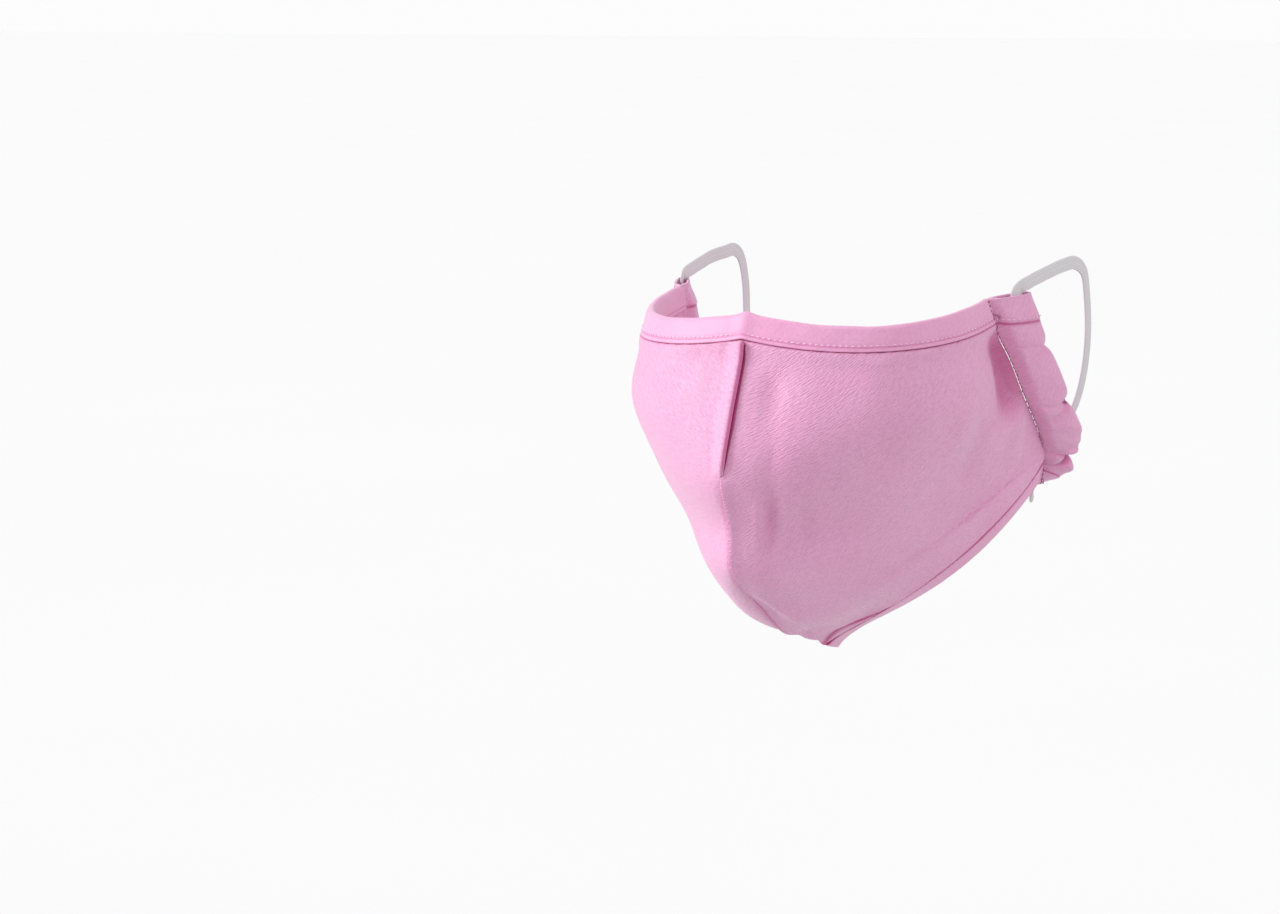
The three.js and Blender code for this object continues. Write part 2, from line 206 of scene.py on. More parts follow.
PANEL_FOLDS = {
    Side.LEFT: (
        Fold((1.05, 0.07), (0.945, 0.45), -5.2, 0.95, 0.62),
        Fold((0.86, 0.32), (0.76, 0.56), -1.0, 0.7, 0.1),
        Fold((0.84, 0.14), (0.74, 0.4), 1.1, 0.7),
        Fold((0.12, 0.12), (0.155, 0.46), -2.6, 0.5, 0.16),
        Fold((0.145, 0.28), (0.18, 0.6), -1.7, 0.26, 0.2),
        Fold((0.1, 0.3), (0.13, 0.56), 0.7, 0.22),
        Fold((0.29, 0.42), (0.32, 0.56), -0.6, 0.3, 0.06),
        Fold((0.52, 0.04), (0.42, 0.44), 1.7, 1.0),
        Fold((0.99, 0.36), (0.9, 0.66), 1.6, 0.55),
        Fold((0.66, 0.08), (0.5, 0.4), -0.7, 1.1, 0.05),
        Fold((0.08, 0.58), (0.13, 0.88), 1.3, 0.7),
        Fold((0.02, 0.66), (0.16, 0.84), 1.1, 0.24),
        Fold((-0.16, 0.895), (0.2, 0.9), -1.7, 0.62),
        Fold((0.72, 0.06), (0.71, 0.12), -0.4, 0.16, 0.1),
        Fold((0.8, 0.06), (0.79, 0.12), -0.4, 0.16, 0.1),
        Fold((-0.2, 0.92), (0.4, 0.915), -1.6, 0.9),
    ),
    Side.RIGHT: (
        Fold((0.93, 0.18), (0.83, 0.58), -1.8, 0.75, 0.2),
        Fold((0.14, 0.52), (0.12, 0.92), 2.4, 1),
        Fold((0.1, 0.1), (0.085, 0.4), -0.55, 0.34, 0.06),
        Fold((0.3, 0.15), (0.26, 0.5), 0.8, 1.4),
        Fold((0.6, 0.08), (0.5, 0.44), -0.7, 0.8, 0.08),
        Fold((-0.2, 0.9), (0.16, 0.895), -1.7, 0.62),
        Fold((-0.2, 0.92), (0.4, 0.915), -1.6, 0.9),
    ),
}


@dataclass(frozen=True)
class Gather:
    """A place where a casing is drawn in, as shares of its length and of the full depth.

    slant is how much further down its fold meets the stitch line, and flap how high the cloth
    below the fold lies over it.
    """

    at: float
    depth: float
    spread: float
    slant: float
    flap: float = 0.0


GATHERS = (
    Gather(0.18, 0.5, 0.045, 0.08),
    Gather(0.41, 0.8, 0.045, 0.1),
    Gather(0.76, 1, 0.045, 0.13, 0.45),
)

# The ear loop outside its casing: x and z as shares of HALF_WIDTH and HEIGHT, and in the middle
# the share of LOOP_REACH behind DEPTH
LOOP_STOPS = (
    (1.02, -0.643, 0.059), (1.03, -0.367, 0.07), (1.04, -0.1, 0.08), (1.04, 0.3, 0.089),
    (1.05, 0.633, 0.091), (1.06, 0.867, 0.064), (1.06, 0.993, -0.014), (1.06, 1.03, -0.128),
    (1.04, 1.01, -0.241), (1, 0.95, -0.333), (0.927, 0.85, -0.411), (0.847, 0.7, -0.475),
    (0.8, 0.543, -0.525), (0.84, 0.42, -0.585),
)


def smooth(value: np.ndarray) -> np.ndarray:
    """An even rise from 0 to 1, for values from 0 to 1."""
    held = np.clip(value, 0.0, 1.0)
    return held * held * (3.0 - 2.0 * held)


def bell(distance: np.ndarray, reach: float | np.ndarray) -> np.ndarray:
    """1 at a distance of 0, falling softly to nearly 0 at twice the reach."""
    return np.exp(-((distance / reach) ** 2))


def cusp(distance: np.ndarray, reach: float | np.ndarray) -> np.ndarray:
    """1 at a distance of 0, falling from a sharp tip to a third at the reach."""
    return np.exp(-np.abs(distance) / reach)


def unit(vectors: np.ndarray) -> np.ndarray:
    """The same directions with a length of 1."""
    return vectors / np.maximum(np.linalg.norm(vectors, axis=-1, keepdims=True), 1e-12)


def ripple(across: np.ndarray, along: np.ndarray, size: float, seed: int) -> np.ndarray:
    """Soft uneven waves over a surface.

    Args:
        across: Distances one way, in metres.
        along: Distances the other way, in metres.
        size: Rough distance between two waves, in metres.
        seed: Which set of waves to take.

    Returns:
        Heights from about -1 to 1.
    """
    random = np.random.default_rng(seed)
    total = np.zeros(np.broadcast(across, along).shape)
    waves = 7
    for _ in range(waves):
        turn, phase = random.uniform(0, 2 * math.pi, 2)
        reach = size * random.uniform(0.7, 1.6)
        place = across * math.cos(turn) + along * math.sin(turn)
        total += np.sin(2 * math.pi * place / reach + phase)
    return total / math.sqrt(2 * waves)


def fuller(wave: np.ndarray, power: float) -> np.ndarray:
    """A sine or cosine with its sign kept, made fuller by a power below 1."""
    return np.sign(wave) * np.abs(wave) ** power


@dataclass(frozen=True)
class SoftLine:
    """A soft line along an edge, in height or in painted shade: its most, and how far it reaches.
    """

    most: float
    reach: float

    def at(self, distance: np.ndarray) -> np.ndarray:
        """How much of it there is at a distance from its middle."""
        return self.most * bell(distance, self.reach)


@dataclass(frozen=True)
class Waves:
    """Low uneven waves in cloth; shares below 1 stretch them across or along."""

    height: float
    size: float
    seed: int
    shares: Pair = (1.0, 1.0)

    def at(self, across: np.ndarray, along: np.ndarray, reseed: int = 0) -> np.ndarray:
        """Their heights at places on the cloth.

        Args:
            across: Distances one way, in metres.
            along: Distances the other way, in metres.
            reseed: Added to the seed, for another set of waves.

        Returns:
            Heights up to about the waves' own one, both ways.
        """
        wide, long = self.shares
        return self.height * ripple(wide * across, long * along, self.size, self.seed + reseed)


def catmull_rom(points: np.ndarray, share: np.ndarray) -> np.ndarray:
    """Places on the smooth line through evenly timed points.

    Args:
        points: The line's points, one row each.
        share: Places from 0 at the first point to 1 at the last.

    Returns:
        One place in space for each share.
    """
    last = len(points) - 1
    ends = np.vstack([2 * points[0] - points[1], points, 2 * points[-1] - points[-2]])
    place = np.clip(share, 0.0, 1.0) * last
    index = np.minimum(place.astype(int), last - 1)
    t = (place - index)[..., None]
    before, start, end, after = (ends[index + k] for k in range(4))
    leave, arrive = (end - before) / 2, (after - start) / 2
    square, cube = -3 * start + 3 * end - 2 * leave - arrive, 2 * start - 2 * end + leave + arrive
    return start + leave * t + square * t**2 + cube * t**3


def closed_curve(points: np.ndarray, share: np.ndarray) -> np.ndarray:
    """Places on the smooth closed line through points at uneven distances.

    Args:
        points: The line's points, one row each; the last joins the first.
        share: Places from 0 to 1 round the line.

    Returns:
        One place in space for each share.
    """
    count = len(points)
    place = (share % 1.0) * count
    index = place.astype(int)
    t = (place - index)[..., None]
    a, b, c, d = (points[(index + k - 1) % count] for k in range(4))
    spans = [
        np.maximum(np.linalg.norm(q - p, axis=-1, keepdims=True) ** 0.5, 1e-6)
        for p, q in ((a, b), (b, c), (c, d))
    ]
    first, middle, last = spans
    leave = ((b - a) / first - (c - a) / (first + middle) + (c - b) / middle) * middle
    arrive = ((c - b) / middle - (d - b) / (middle + last) + (d - c) / last) * middle
    square, cube = -3 * b + 3 * c - 2 * leave - arrive, 2 * b - 2 * c + leave + arrive
    return b + leave * t + square * t**2 + cube * t**3


@dataclass(frozen=True)
class WornForm:
    """The smooth surface that the worn mask follows: across -1 to 1, down 0 to 1."""

    rows: tuple[FormRow, ...] = FORM_ROWS
    samples: int = 120
    nudge: float = 0.004

    def column(self, name: str, down: np.ndarray) -> np.ndarray:
        """Places on one named line down the left half of the form.

        Args:
            name: The FormRow field to follow.
            down: Shares from the upper edge to the lower one.

        Returns:
            One place in space for each share.
        """
        shares = np.array([getattr(row, name) for row in self.rows])
        points = shares * np.array([HALF_WIDTH, DEPTH, HEIGHT])
        return catmull_rom(points, np.asarray(down, dtype=float))

    def point(self, across: np.ndarray, down: np.ndarray) -> np.ndarray:
        """Places on the form.

        Args:
            across: Shares from -1, the right stitch line, to 1, the left one.
            down: Shares from the upper edge to the lower one.

        Returns:
            One place in space for each pair.
        """
        across, down = np.broadcast_arrays(across, down)
        t = np.minimum(np.abs(across), 1.0)[..., None]
        seam, front, cheek, side = (
            self.column(name, down) for name in ("seam", "front", "cheek", "side")
        )
        place = (
            (1 - t) ** 3 * seam
            + 3 * (1 - t) ** 2 * t * front
            + 3 * (1 - t) * t**2 * cheek
            + t**3 * side
        )
        place[..., 0] *= np.where(across < 0, -1.0, 1.0)
        return place

    def normal(self, across: np.ndarray, down: np.ndarray) -> np.ndarray:
        """The outward directions at places on the form.

        Args:
            across: Shares from -1, the right stitch line, to 1, the left one.
            down: Shares from the upper edge to the lower one.

        Returns:
            One direction for each pair.
        """
        across, down = np.broadcast_arrays(across, down)
        left, right = np.minimum(across + self.nudge, 1.0), np.maximum(across - self.nudge, -1.0)
        along_row = self.point(left, down) - self.point(right, down)
        along_column = self.point(across, down + self.nudge) - self.point(across, down - self.nudge)
        return -unit(np.cross(along_row, along_column))

    def measure(self, across: np.ndarray) -> tuple[np.ndarray, np.ndarray]:
        """Lengths down the form.

        Args:
            across: Where each measured line runs.

        Returns:
            The shares measured at, and for each line its length down to each share.
        """
        shares = np.linspace(0.0, 1.0, self.samples + 1)
        line = self.point(across[:, None], shares[None, :])
        steps = np.linalg.norm(np.diff(line, axis=1), axis=-1)
        return shares, np.hstack([np.zeros((len(across), 1)), np.cumsum(steps, axis=1)])

    def down_at(self, across: np.ndarray, distance: np.ndarray) -> np.ndarray:
        """The share down the form at a distance from its upper edge.

        Args:
            across: One place across for each row of distance.
            distance: Distances in metres; a negative one counts up from the lower edge.

        Returns:
            The shares, in the shape of distance.
        """
        shares, lengths = self.measure(across)
        wanted = np.where(distance < 0, lengths[:, -1:] + distance, distance)
        return np.array([np.interp(w, known, shares) for w, known in zip(wanted, lengths)])

    @property
    def row_length(self) -> float:
        """Straight distance from the seam to the stitch line halfway down."""
        ends = self.point(np.array([0.0, 1.0]), np.array([0.5, 0.5]))
        return float(np.linalg.norm(ends[1] - ends[0]))


FORM = WornForm()


def ring_faces(rings: int, size: int, loop: bool) -> list[tuple[int, ...]]:
    """Quads between neighbouring closed rings.

    Args:
        rings: How many rings there are.
        size: Points in a ring.
        loop: Whether the last ring joins the first.

    Returns:
        The faces, as indices of points.
    """
    faces = []
    for i in range(rings if loop else rings - 1):
        here, after = i * size, ((i + 1) % rings) * size
        for k in range(size):
            j = (k + 1) % size
            faces.append((here + k, here + j, after + j, after + k))
    return faces


def end_faces(start: int, half: int, extra: int) -> list[tuple[int, ...]]:
    """Closes one end of a folded ring by joining its first half to its second half.

    Args:
        start: Index of the ring's first point.
        half: Points in each half.
        extra: Points of a rounded rim after the second half.

    Returns:
        The faces, as indices of points.
    """
    faces = [
        (start + k, start + k + 1, start + 2 * half - 2 - k, start + 2 * half - 1 - k)
        for k in range(half - 1)
    ]
    if extra:
        faces.append((start, *range(start + 2 * half - 1, start + 2 * half + extra)))
    return faces


def folded_solid(
    rings: np.ndarray, half: int, extra: int = 0
) -> tuple[np.ndarray, list[tuple[int, ...]]]:
    """A closed shell from folded rings.

    Args:
        rings: Points by ring and place, with a last axis of 3.
        half: Points in each half of a ring.
        extra: Points of a rounded rim.

    Returns:
        The points and the faces.
    """
    count, size = rings.shape[:2]
    faces = ring_faces(count, size, False)
    faces += [face[::-1] for face in end_faces(0, half, extra)]
    faces += end_faces((count - 1) * size, half, extra)
    return rings.reshape(-1, 3), faces


def tube_solid(outer: np.ndarray, inner: np.ndarray) -> tuple[np.ndarray, list[tuple[int, ...]]]:
    """A tube with a wall, open at both ends.

    Args:
        outer: Outer rings, points by ring and place.
        inner: Inner rings of the same shape.

    Returns:
        The points and the faces.
    """
    count, size = outer.shape[:2]
    start = count * size
    last = (count - 1) * size
    faces = ring_faces(count, size, False)
    faces += [tuple(start + k for k in face[::-1]) for face in ring_faces(count, size, False)]
    for k in range(size):
        j = (k + 1) % size
        faces.append((j, k, start + k, start + j))
        faces.append((last + k, last + j, start + last + j, start + last + k))
    return np.vstack([outer.reshape(-1, 3), inner.reshape(-1, 3)]), faces


def facing_out(points: np.ndarray, faces: list[tuple[int, ...]]) -> list[tuple[int, ...]]:
    """Turns faces round if they enclose their volume from the inside.

    Args:
        points: The points of a closed mesh.
        faces: Its faces, each of four points or more.

    Returns:
        The faces, all pointing outwards.
    """
    quads = np.array([face[:4] for face in faces])
    a, b, c, d = (points[quads[:, k]] for k in range(4))
    volume = float((a * np.cross(b, c)).sum() + (a * np.cross(c, d)).sum())
    return faces if volume > 0 else [face[::-1] for face in faces]


@dataclass
class ClothPiece:
    """A finished mesh on its way into the scene."""

    name: str
    points: np.ndarray
    faces: list[tuple[int, ...]]
    uv: np.ndarray
    painted_shade: np.ndarray

    def make(self, material: bpy.types.Material) -> bpy.types.Object:
        """Puts the mesh into the scene.

        Args:
            material: The finish of the whole piece.

        Returns:
            The new object, at the origin.
        """
        mesh = bpy.data.meshes.new(self.name)
        faces = facing_out(self.points, self.faces)
        mesh.from_pydata(self.points.tolist(), [], faces)
        layer = mesh.uv_layers.new(name=UV_NAME)
        corners = np.empty(len(mesh.loops), dtype=np.int32)
        mesh.loops.foreach_get("vertex_index", corners)
        layer.data.foreach_set("uv", self.uv[corners].astype(np.float32).ravel())
        tone = mesh.attributes.new(PAINTED_SHADE, "FLOAT", "POINT")
        tone.data.foreach_set("value", self.painted_shade.astype(np.float32).ravel())
        mesh.polygons.foreach_set("use_smooth", np.ones(len(mesh.polygons), dtype=bool))
        mesh.materials.append(material)
        mesh.update()
        made = bpy.data.objects.new(self.name, mesh)
        bpy.context.scene.collection.objects.link(made)
        return made


class NodeBoard:
    """A short way to lay out a node tree."""

    def __init__(self, tree: bpy.types.NodeTree) -> None:
        """Starts on an emptied tree."""
        self.tree = tree
        tree.nodes.clear()

    def add(self, kind: str, **values: object) -> bpy.types.Node:
        """Adds a node.

        Args:
            kind: Blender's name of the node type.
            values: Properties of the node, by name.

        Returns:
            The node.
        """
        node = self.tree.nodes.new(kind)
        for name, value in values.items():
            setattr(node, name, value)
        return node

    def put(self, node: bpy.types.Node, **values: object) -> bpy.types.Node:
        """Sets a node's inputs.

        Args:
            node: The node.
            values: Plain values by input, named with _ for a space.

        Returns:
            The same node.
        """
        for name, value in values.items():
            node.inputs[name.replace("_", " ")].default_value = value
        return node

    def link(self, source: bpy.types.NodeSocket, target: bpy.types.NodeSocket) -> None:
        """Joins two sockets."""
        self.tree.links.new(source, target)

    def cloth_uv(self) -> bpy.types.NodeSocket:
        """The piece's own coordinates along its cloth, in metres."""
        return self.add("ShaderNodeUVMap", uv_map=UV_NAME).outputs["UV"]

    def place(self) -> bpy.types.NodeSocket:
        """Places in space, in metres."""
        return self.add("ShaderNodeTexCoord").outputs["Object"]

    def painted_shade(self) -> bpy.types.NodeSocket:
        """The share of painted shade, in the deep tone, that the piece carries at each point."""
        node = self.add("ShaderNodeAttribute", attribute_type="GEOMETRY", attribute_name=PAINTED_SHADE)
        return node.outputs["Fac"]

    def scaled(
        self, source: bpy.types.NodeSocket, scale: Triple, turn: float = 0.0
    ) -> bpy.types.NodeSocket:
        """A pattern's coordinates, turned and then stretched.

        Args:
            source: The coordinates to start from.
            scale: Waves to the metre on each axis.
            turn: Turn about the surface's normal, in radians.

        Returns:
            The new coordinates.
        """
        turned = self.add("ShaderNodeMapping", vector_type="POINT")
        turned.inputs["Rotation"].default_value = (0, 0, turn)
        stretched = self.add("ShaderNodeMapping", vector_type="POINT")
        stretched.inputs["Scale"].default_value = scale
        self.link(source, turned.inputs["Vector"])
        self.link(turned.outputs["Vector"], stretched.inputs["Vector"])
        return stretched.outputs["Vector"]

    def noise(
        self, source: bpy.types.NodeSocket, detail: float, roughness: float = 0.5
    ) -> bpy.types.NodeSocket:
        """A noise pattern's value on ready coordinates.

        Args:
            source: The pattern's coordinates.
            detail: How many finer layers it has.
            roughness: How strong the finer layers are.

        Returns:
            The value, from 0 to 1.
        """
        node = self.add("ShaderNodeTexNoise")
        self.put(node, Scale=1.0, Detail=detail, Roughness=roughness)
        self.link(source, node.inputs["Vector"])
        return node.outputs["Fac"]

    def ranged(self, source: bpy.types.NodeSocket, old: Pair, new: Pair) -> bpy.types.NodeSocket:
        """A value moved from one range to another, held at its ends.

        Args:
            source: The value.
            old: The range it comes from.
            new: The range it goes to.

        Returns:
            The moved value.
        """
        node = self.add("ShaderNodeMapRange", clamp=True)
        self.put(node, From_Min=old[0], From_Max=old[1], To_Min=new[0], To_Max=new[1])
        self.link(source, node.inputs["Value"])
        return node.outputs["Result"]

    def mixed(
        self, share: bpy.types.NodeSocket, first: object, second: object
    ) -> bpy.types.NodeSocket:
        """A colour between two others.

        Args:
            share: 0 for the first colour, 1 for the second.
            first: A colour, or a socket that gives one.
            second: A colour, or a socket that gives one.

        Returns:
            The mixed colour.
        """
        node = self.add("ShaderNodeMix", data_type="RGBA", blend_type="MIX")
        self.link(share, node.inputs["Factor"])
        for socket, value in ((node.inputs[6], first), (node.inputs[7], second)):
            if isinstance(value, bpy.types.NodeSocket):
                self.link(value, socket)
            else:
                socket.default_value = value
        return node.outputs[2]

    def bump(
        self, height: bpy.types.NodeSocket, distance: float, strength: float,
        under: bpy.types.NodeSocket | None = None,
    ) -> bpy.types.NodeSocket:
        """A bump on top of another one.

        Args:
            height: The pattern that stands up.
            distance: How high it stands, in metres.
            strength: How much of it shows.
            under: The normal that it is laid over.

        Returns:
            The new normal.
        """
        node = self.add("ShaderNodeBump")
        self.put(node, Distance=distance, Strength=strength)
        self.link(height, node.inputs["Height"])
        if under is not None:
            self.link(under, node.inputs["Normal"])
        return node.outputs["Normal"]


def tone(red: int, green: int, blue: int) -> Colour:
    """A colour as a shader takes it.

    Args:
        red: Screen value from 0 to 255, as the other two.
        green: Screen value.
        blue: Screen value.

    Returns:
        The linear colour.
    """

    def linear(value: float) -> float:
        """One channel, from screen to linear."""
        share = value / 255
        return share / 12.92 if share <= 0.04045 else ((share + 0.055) / 1.055) ** 2.4

    return (linear(red), linear(green), linear(blue), 1.0)


def new_material(name: str) -> tuple[bpy.types.Material, NodeBoard, bpy.types.Node]:
    """A material with only a principled shader and its output.

    Args:
        name: The material's name.

    Returns:
        The material, its board and its shader.
    """
    material = bpy.data.materials.new(name)
    material.use_nodes = True
    board = NodeBoard(material.node_tree)
    shader = board.add("ShaderNodeBsdfPrincipled")
    output = board.add("ShaderNodeOutputMaterial")
    board.link(shader.outputs["BSDF"], output.inputs["Surface"])
    return material, board, shader


@dataclass(frozen=True)
class ClothFinish:
    """Smooth woven cloth with a faint crepe that rises to the right.

    crepe and cloud are waves to the metre both ways. A share is how much of another tone shows
    where its pattern is strongest.
    """

    name: str
    base: Colour
    light: Colour
    # deep: the tone of the painted shade in creases and beside edges, and of the crepe's dark
    # flecks
    deep: Colour
    crepe: Pair = (330.0, 1750.0)
    crepe_turn: float = 0.56
    crepe_grain: float = 0.4
    crepe_window: Pair = (0.2, 0.8)
    crepe_height: float = 0.0008
    crepe_strength: float = 0.75
    cloud: Pair = (38.0, 30.0)
    cloud_share: float = 0.55
    fleck_share: float = 0.12
    fleck_window: Pair = (0.28, 0.6)
    thread_pitch: float = 0.00045
    thread_wobble: float = 0.6
    thread_height: float = 0.00004
    thread_strength: float = 0.6
    roughness: Pair = (0.46, 0.62)
    sheen: float = 0.4
    specular: float = 0.48

    def build(self) -> bpy.types.Material:
        """Builds the material.

        Returns:
            The finished material.
        """
        material, board, shader = new_material(self.name)
        uv = board.cloth_uv()
        slanted = board.scaled(uv, (*self.crepe, 1.0), self.crepe_turn)
        crepe = board.noise(slanted, 1.0, self.crepe_grain)
        weave = self.weave(board, uv)
        cloudy = board.noise(board.scaled(uv, (*self.cloud, 1.0)), 2.0)
        painted_shade = board.painted_shade()
        paler = board.ranged(cloudy, NOISE_RANGE, (0.0, self.cloud_share))
        body = board.mixed(paler, self.base, self.light)
        flecks = board.ranged(crepe, self.fleck_window, (self.fleck_share, 0.0))
        flecked = board.mixed(flecks, body, self.deep)
        # The attribute mixes in the deep tone as painted shade
        board.link(board.mixed(painted_shade, flecked, self.deep), shader.inputs["Base Color"])
        dull = board.ranged(crepe, self.crepe_window, self.roughness)
        board.link(dull, shader.inputs["Roughness"])
        soft = board.bump(crepe, self.crepe_height, self.crepe_strength)
        woven = board.bump(weave, self.thread_height, self.thread_strength, soft)
        board.link(woven, shader.inputs["Normal"])
        board.put(shader, Sheen_Weight=self.sheen, Sheen_Roughness=0.5, Sheen_Tint=WHITE)
        board.put(shader, Specular_IOR_Level=self.specular)
        return material

    def weave(self, board: NodeBoard, uv: bpy.types.NodeSocket) -> bpy.types.NodeSocket:
        """Crossing threads.

        Args:
            board: The board to lay the nodes on.
            uv: The cloth's own coordinates, in metres.

        Returns:
            The height of the threads, from 0 to 1.
        """
        half_turns = math.pi / self.thread_pitch
        waves = []
        for direction in ("X", "Y"):
            wave = board.add("ShaderNodeTexWave", bands_direction=direction, wave_profile="SIN")
            board.put(wave, Scale=half_turns / WAVE_TURN, Distortion=self.thread_wobble)
            board.put(wave, Detail=1.0)
            board.link(uv, wave.inputs["Vector"])
            waves.append(wave.outputs["Fac"])
        joined = board.add("ShaderNodeMath", operation="MULTIPLY")
        for wave_height, socket in zip(waves, joined.inputs):
            board.link(wave_height, socket)
        return joined.outputs["Value"]


@dataclass(frozen=True)
class ElasticFinish:
    """White knitted elastic with fine ribs along it; knit is loops to the metre both ways."""

    name: str = "elastic_white"
    base: Colour = tone(252, 250, 252)
    shade: Colour = tone(212, 205, 211)
    knit: Pair = (3200.0, 1500.0)
    knit_grain: float = 0.6
    knit_share: float = 0.35
    knit_height: float = 0.00012
    knit_strength: float = 0.7
    roughness: Pair = (0.7, 0.9)
    sheen: float = 0.2
    specular: float = 0.2

    def build(self) -> bpy.types.Material:
        """Builds the material.

        Returns:
            The finished material.
        """
        material, board, shader = new_material(self.name)
        loops = board.scaled(board.cloth_uv(), (*self.knit, 1.0))
        knit = board.noise(loops, 2.0, self.knit_grain)
        painted_shade = board.painted_shade()
        shown = board.ranged(knit, NOISE_MIDDLE, (0.0, self.knit_share))
        worn = board.mixed(shown, self.base, self.shade)
        # painted shade in the grooves between the ribs, in the shade tone
        board.link(board.mixed(painted_shade, worn, self.shade), shader.inputs["Base Color"])
        board.link(board.ranged(knit, NOISE_RANGE, self.roughness), shader.inputs["Roughness"])
        relief = board.bump(knit, self.knit_height, self.knit_strength)
        board.link(relief, shader.inputs["Normal"])
        board.put(shader, Sheen_Weight=self.sheen, Sheen_Roughness=0.5)
        board.put(shader, Specular_IOR_Level=self.specular)
        return material


@dataclass(frozen=True)
class ThreadFinish:
    """Twisted sewing thread; ply is its turns to the metre."""

    name: str
    base: Colour
    shade: Colour
    ply: float = 2600.0
    ply_height: float = 0.00005
    ply_strength: float = 0.6
    roughness: Pair = (0.7, 0.9)
    specular: float = 0.15

    def build(self) -> bpy.types.Material:
        """Builds the material.

        Returns:
            The finished material.
        """
        material, board, shader = new_material(self.name)
        ply = board.noise(board.scaled(board.place(), (self.ply,) * 3), 2.0)
        twisted = board.mixed(board.ranged(ply, NOISE_MIDDLE, (0.0, 1.0)), self.base, self.shade)
        board.link(twisted, shader.inputs["Base Color"])
        board.link(board.ranged(ply, NOISE_RANGE, self.roughness), shader.inputs["Roughness"])
        board.link(board.bump(ply, self.ply_height, self.ply_strength), shader.inputs["Normal"])
        board.put(shader, Specular_IOR_Level=self.specular)
        return material


@dataclass(frozen=True)
class FloorFinish:
    """Plain pale studio floor; cloud is its faint waves to the metre."""

    name: str = "studio_floor"
    base: Colour = tone(255, 255, 255)
    shade: Colour = tone(253, 253, 254)
    cloud: float = 2.0
    roughness: float = 0.95
    specular: float = 0.1

    def build(self) -> bpy.types.Material:
        """Builds the material.

        Returns:
            The finished material.
        """
        material, board, shader = new_material(self.name)
        cloudy = board.noise(board.scaled(board.place(), (self.cloud,) * 3), 2.0)
        board.link(board.mixed(cloudy, self.base, self.shade), shader.inputs["Base Color"])
        board.put(shader, Roughness=self.roughness, Specular_IOR_Level=self.specular)
        return material


@dataclass
class Finishes:
    """Every material of the mask, each built once."""

    panel: bpy.types.Material = field(
        default_factory=lambda: ClothFinish(
            "panel_cloth_pink", tone(247, 176, 218), tone(251, 190, 228), tone(198, 34, 131)
        ).build()
    )
    binding: bpy.types.Material = field(
        default_factory=lambda: ClothFinish(
            "binding_cloth_pink", tone(247, 174, 216), tone(251, 189, 227), tone(198, 34, 131),
            crepe=(700.0, 900.0), crepe_turn=0.78, crepe_height=0.00008,
        ).build()
    )
    elastic: bpy.types.Material = field(default_factory=lambda: ElasticFinish().build())
    binding_thread: bpy.types.Material = field(
        default_factory=lambda: ThreadFinish(
            "thread_rosy", tone(255, 228, 246), tone(244, 182, 220)
        ).build()
    )
    side_thread: bpy.types.Material = field(
        default_factory=lambda: ThreadFinish(
            "thread_grey_pink", tone(198, 132, 168), tone(128, 72, 106)
        ).build()
    )


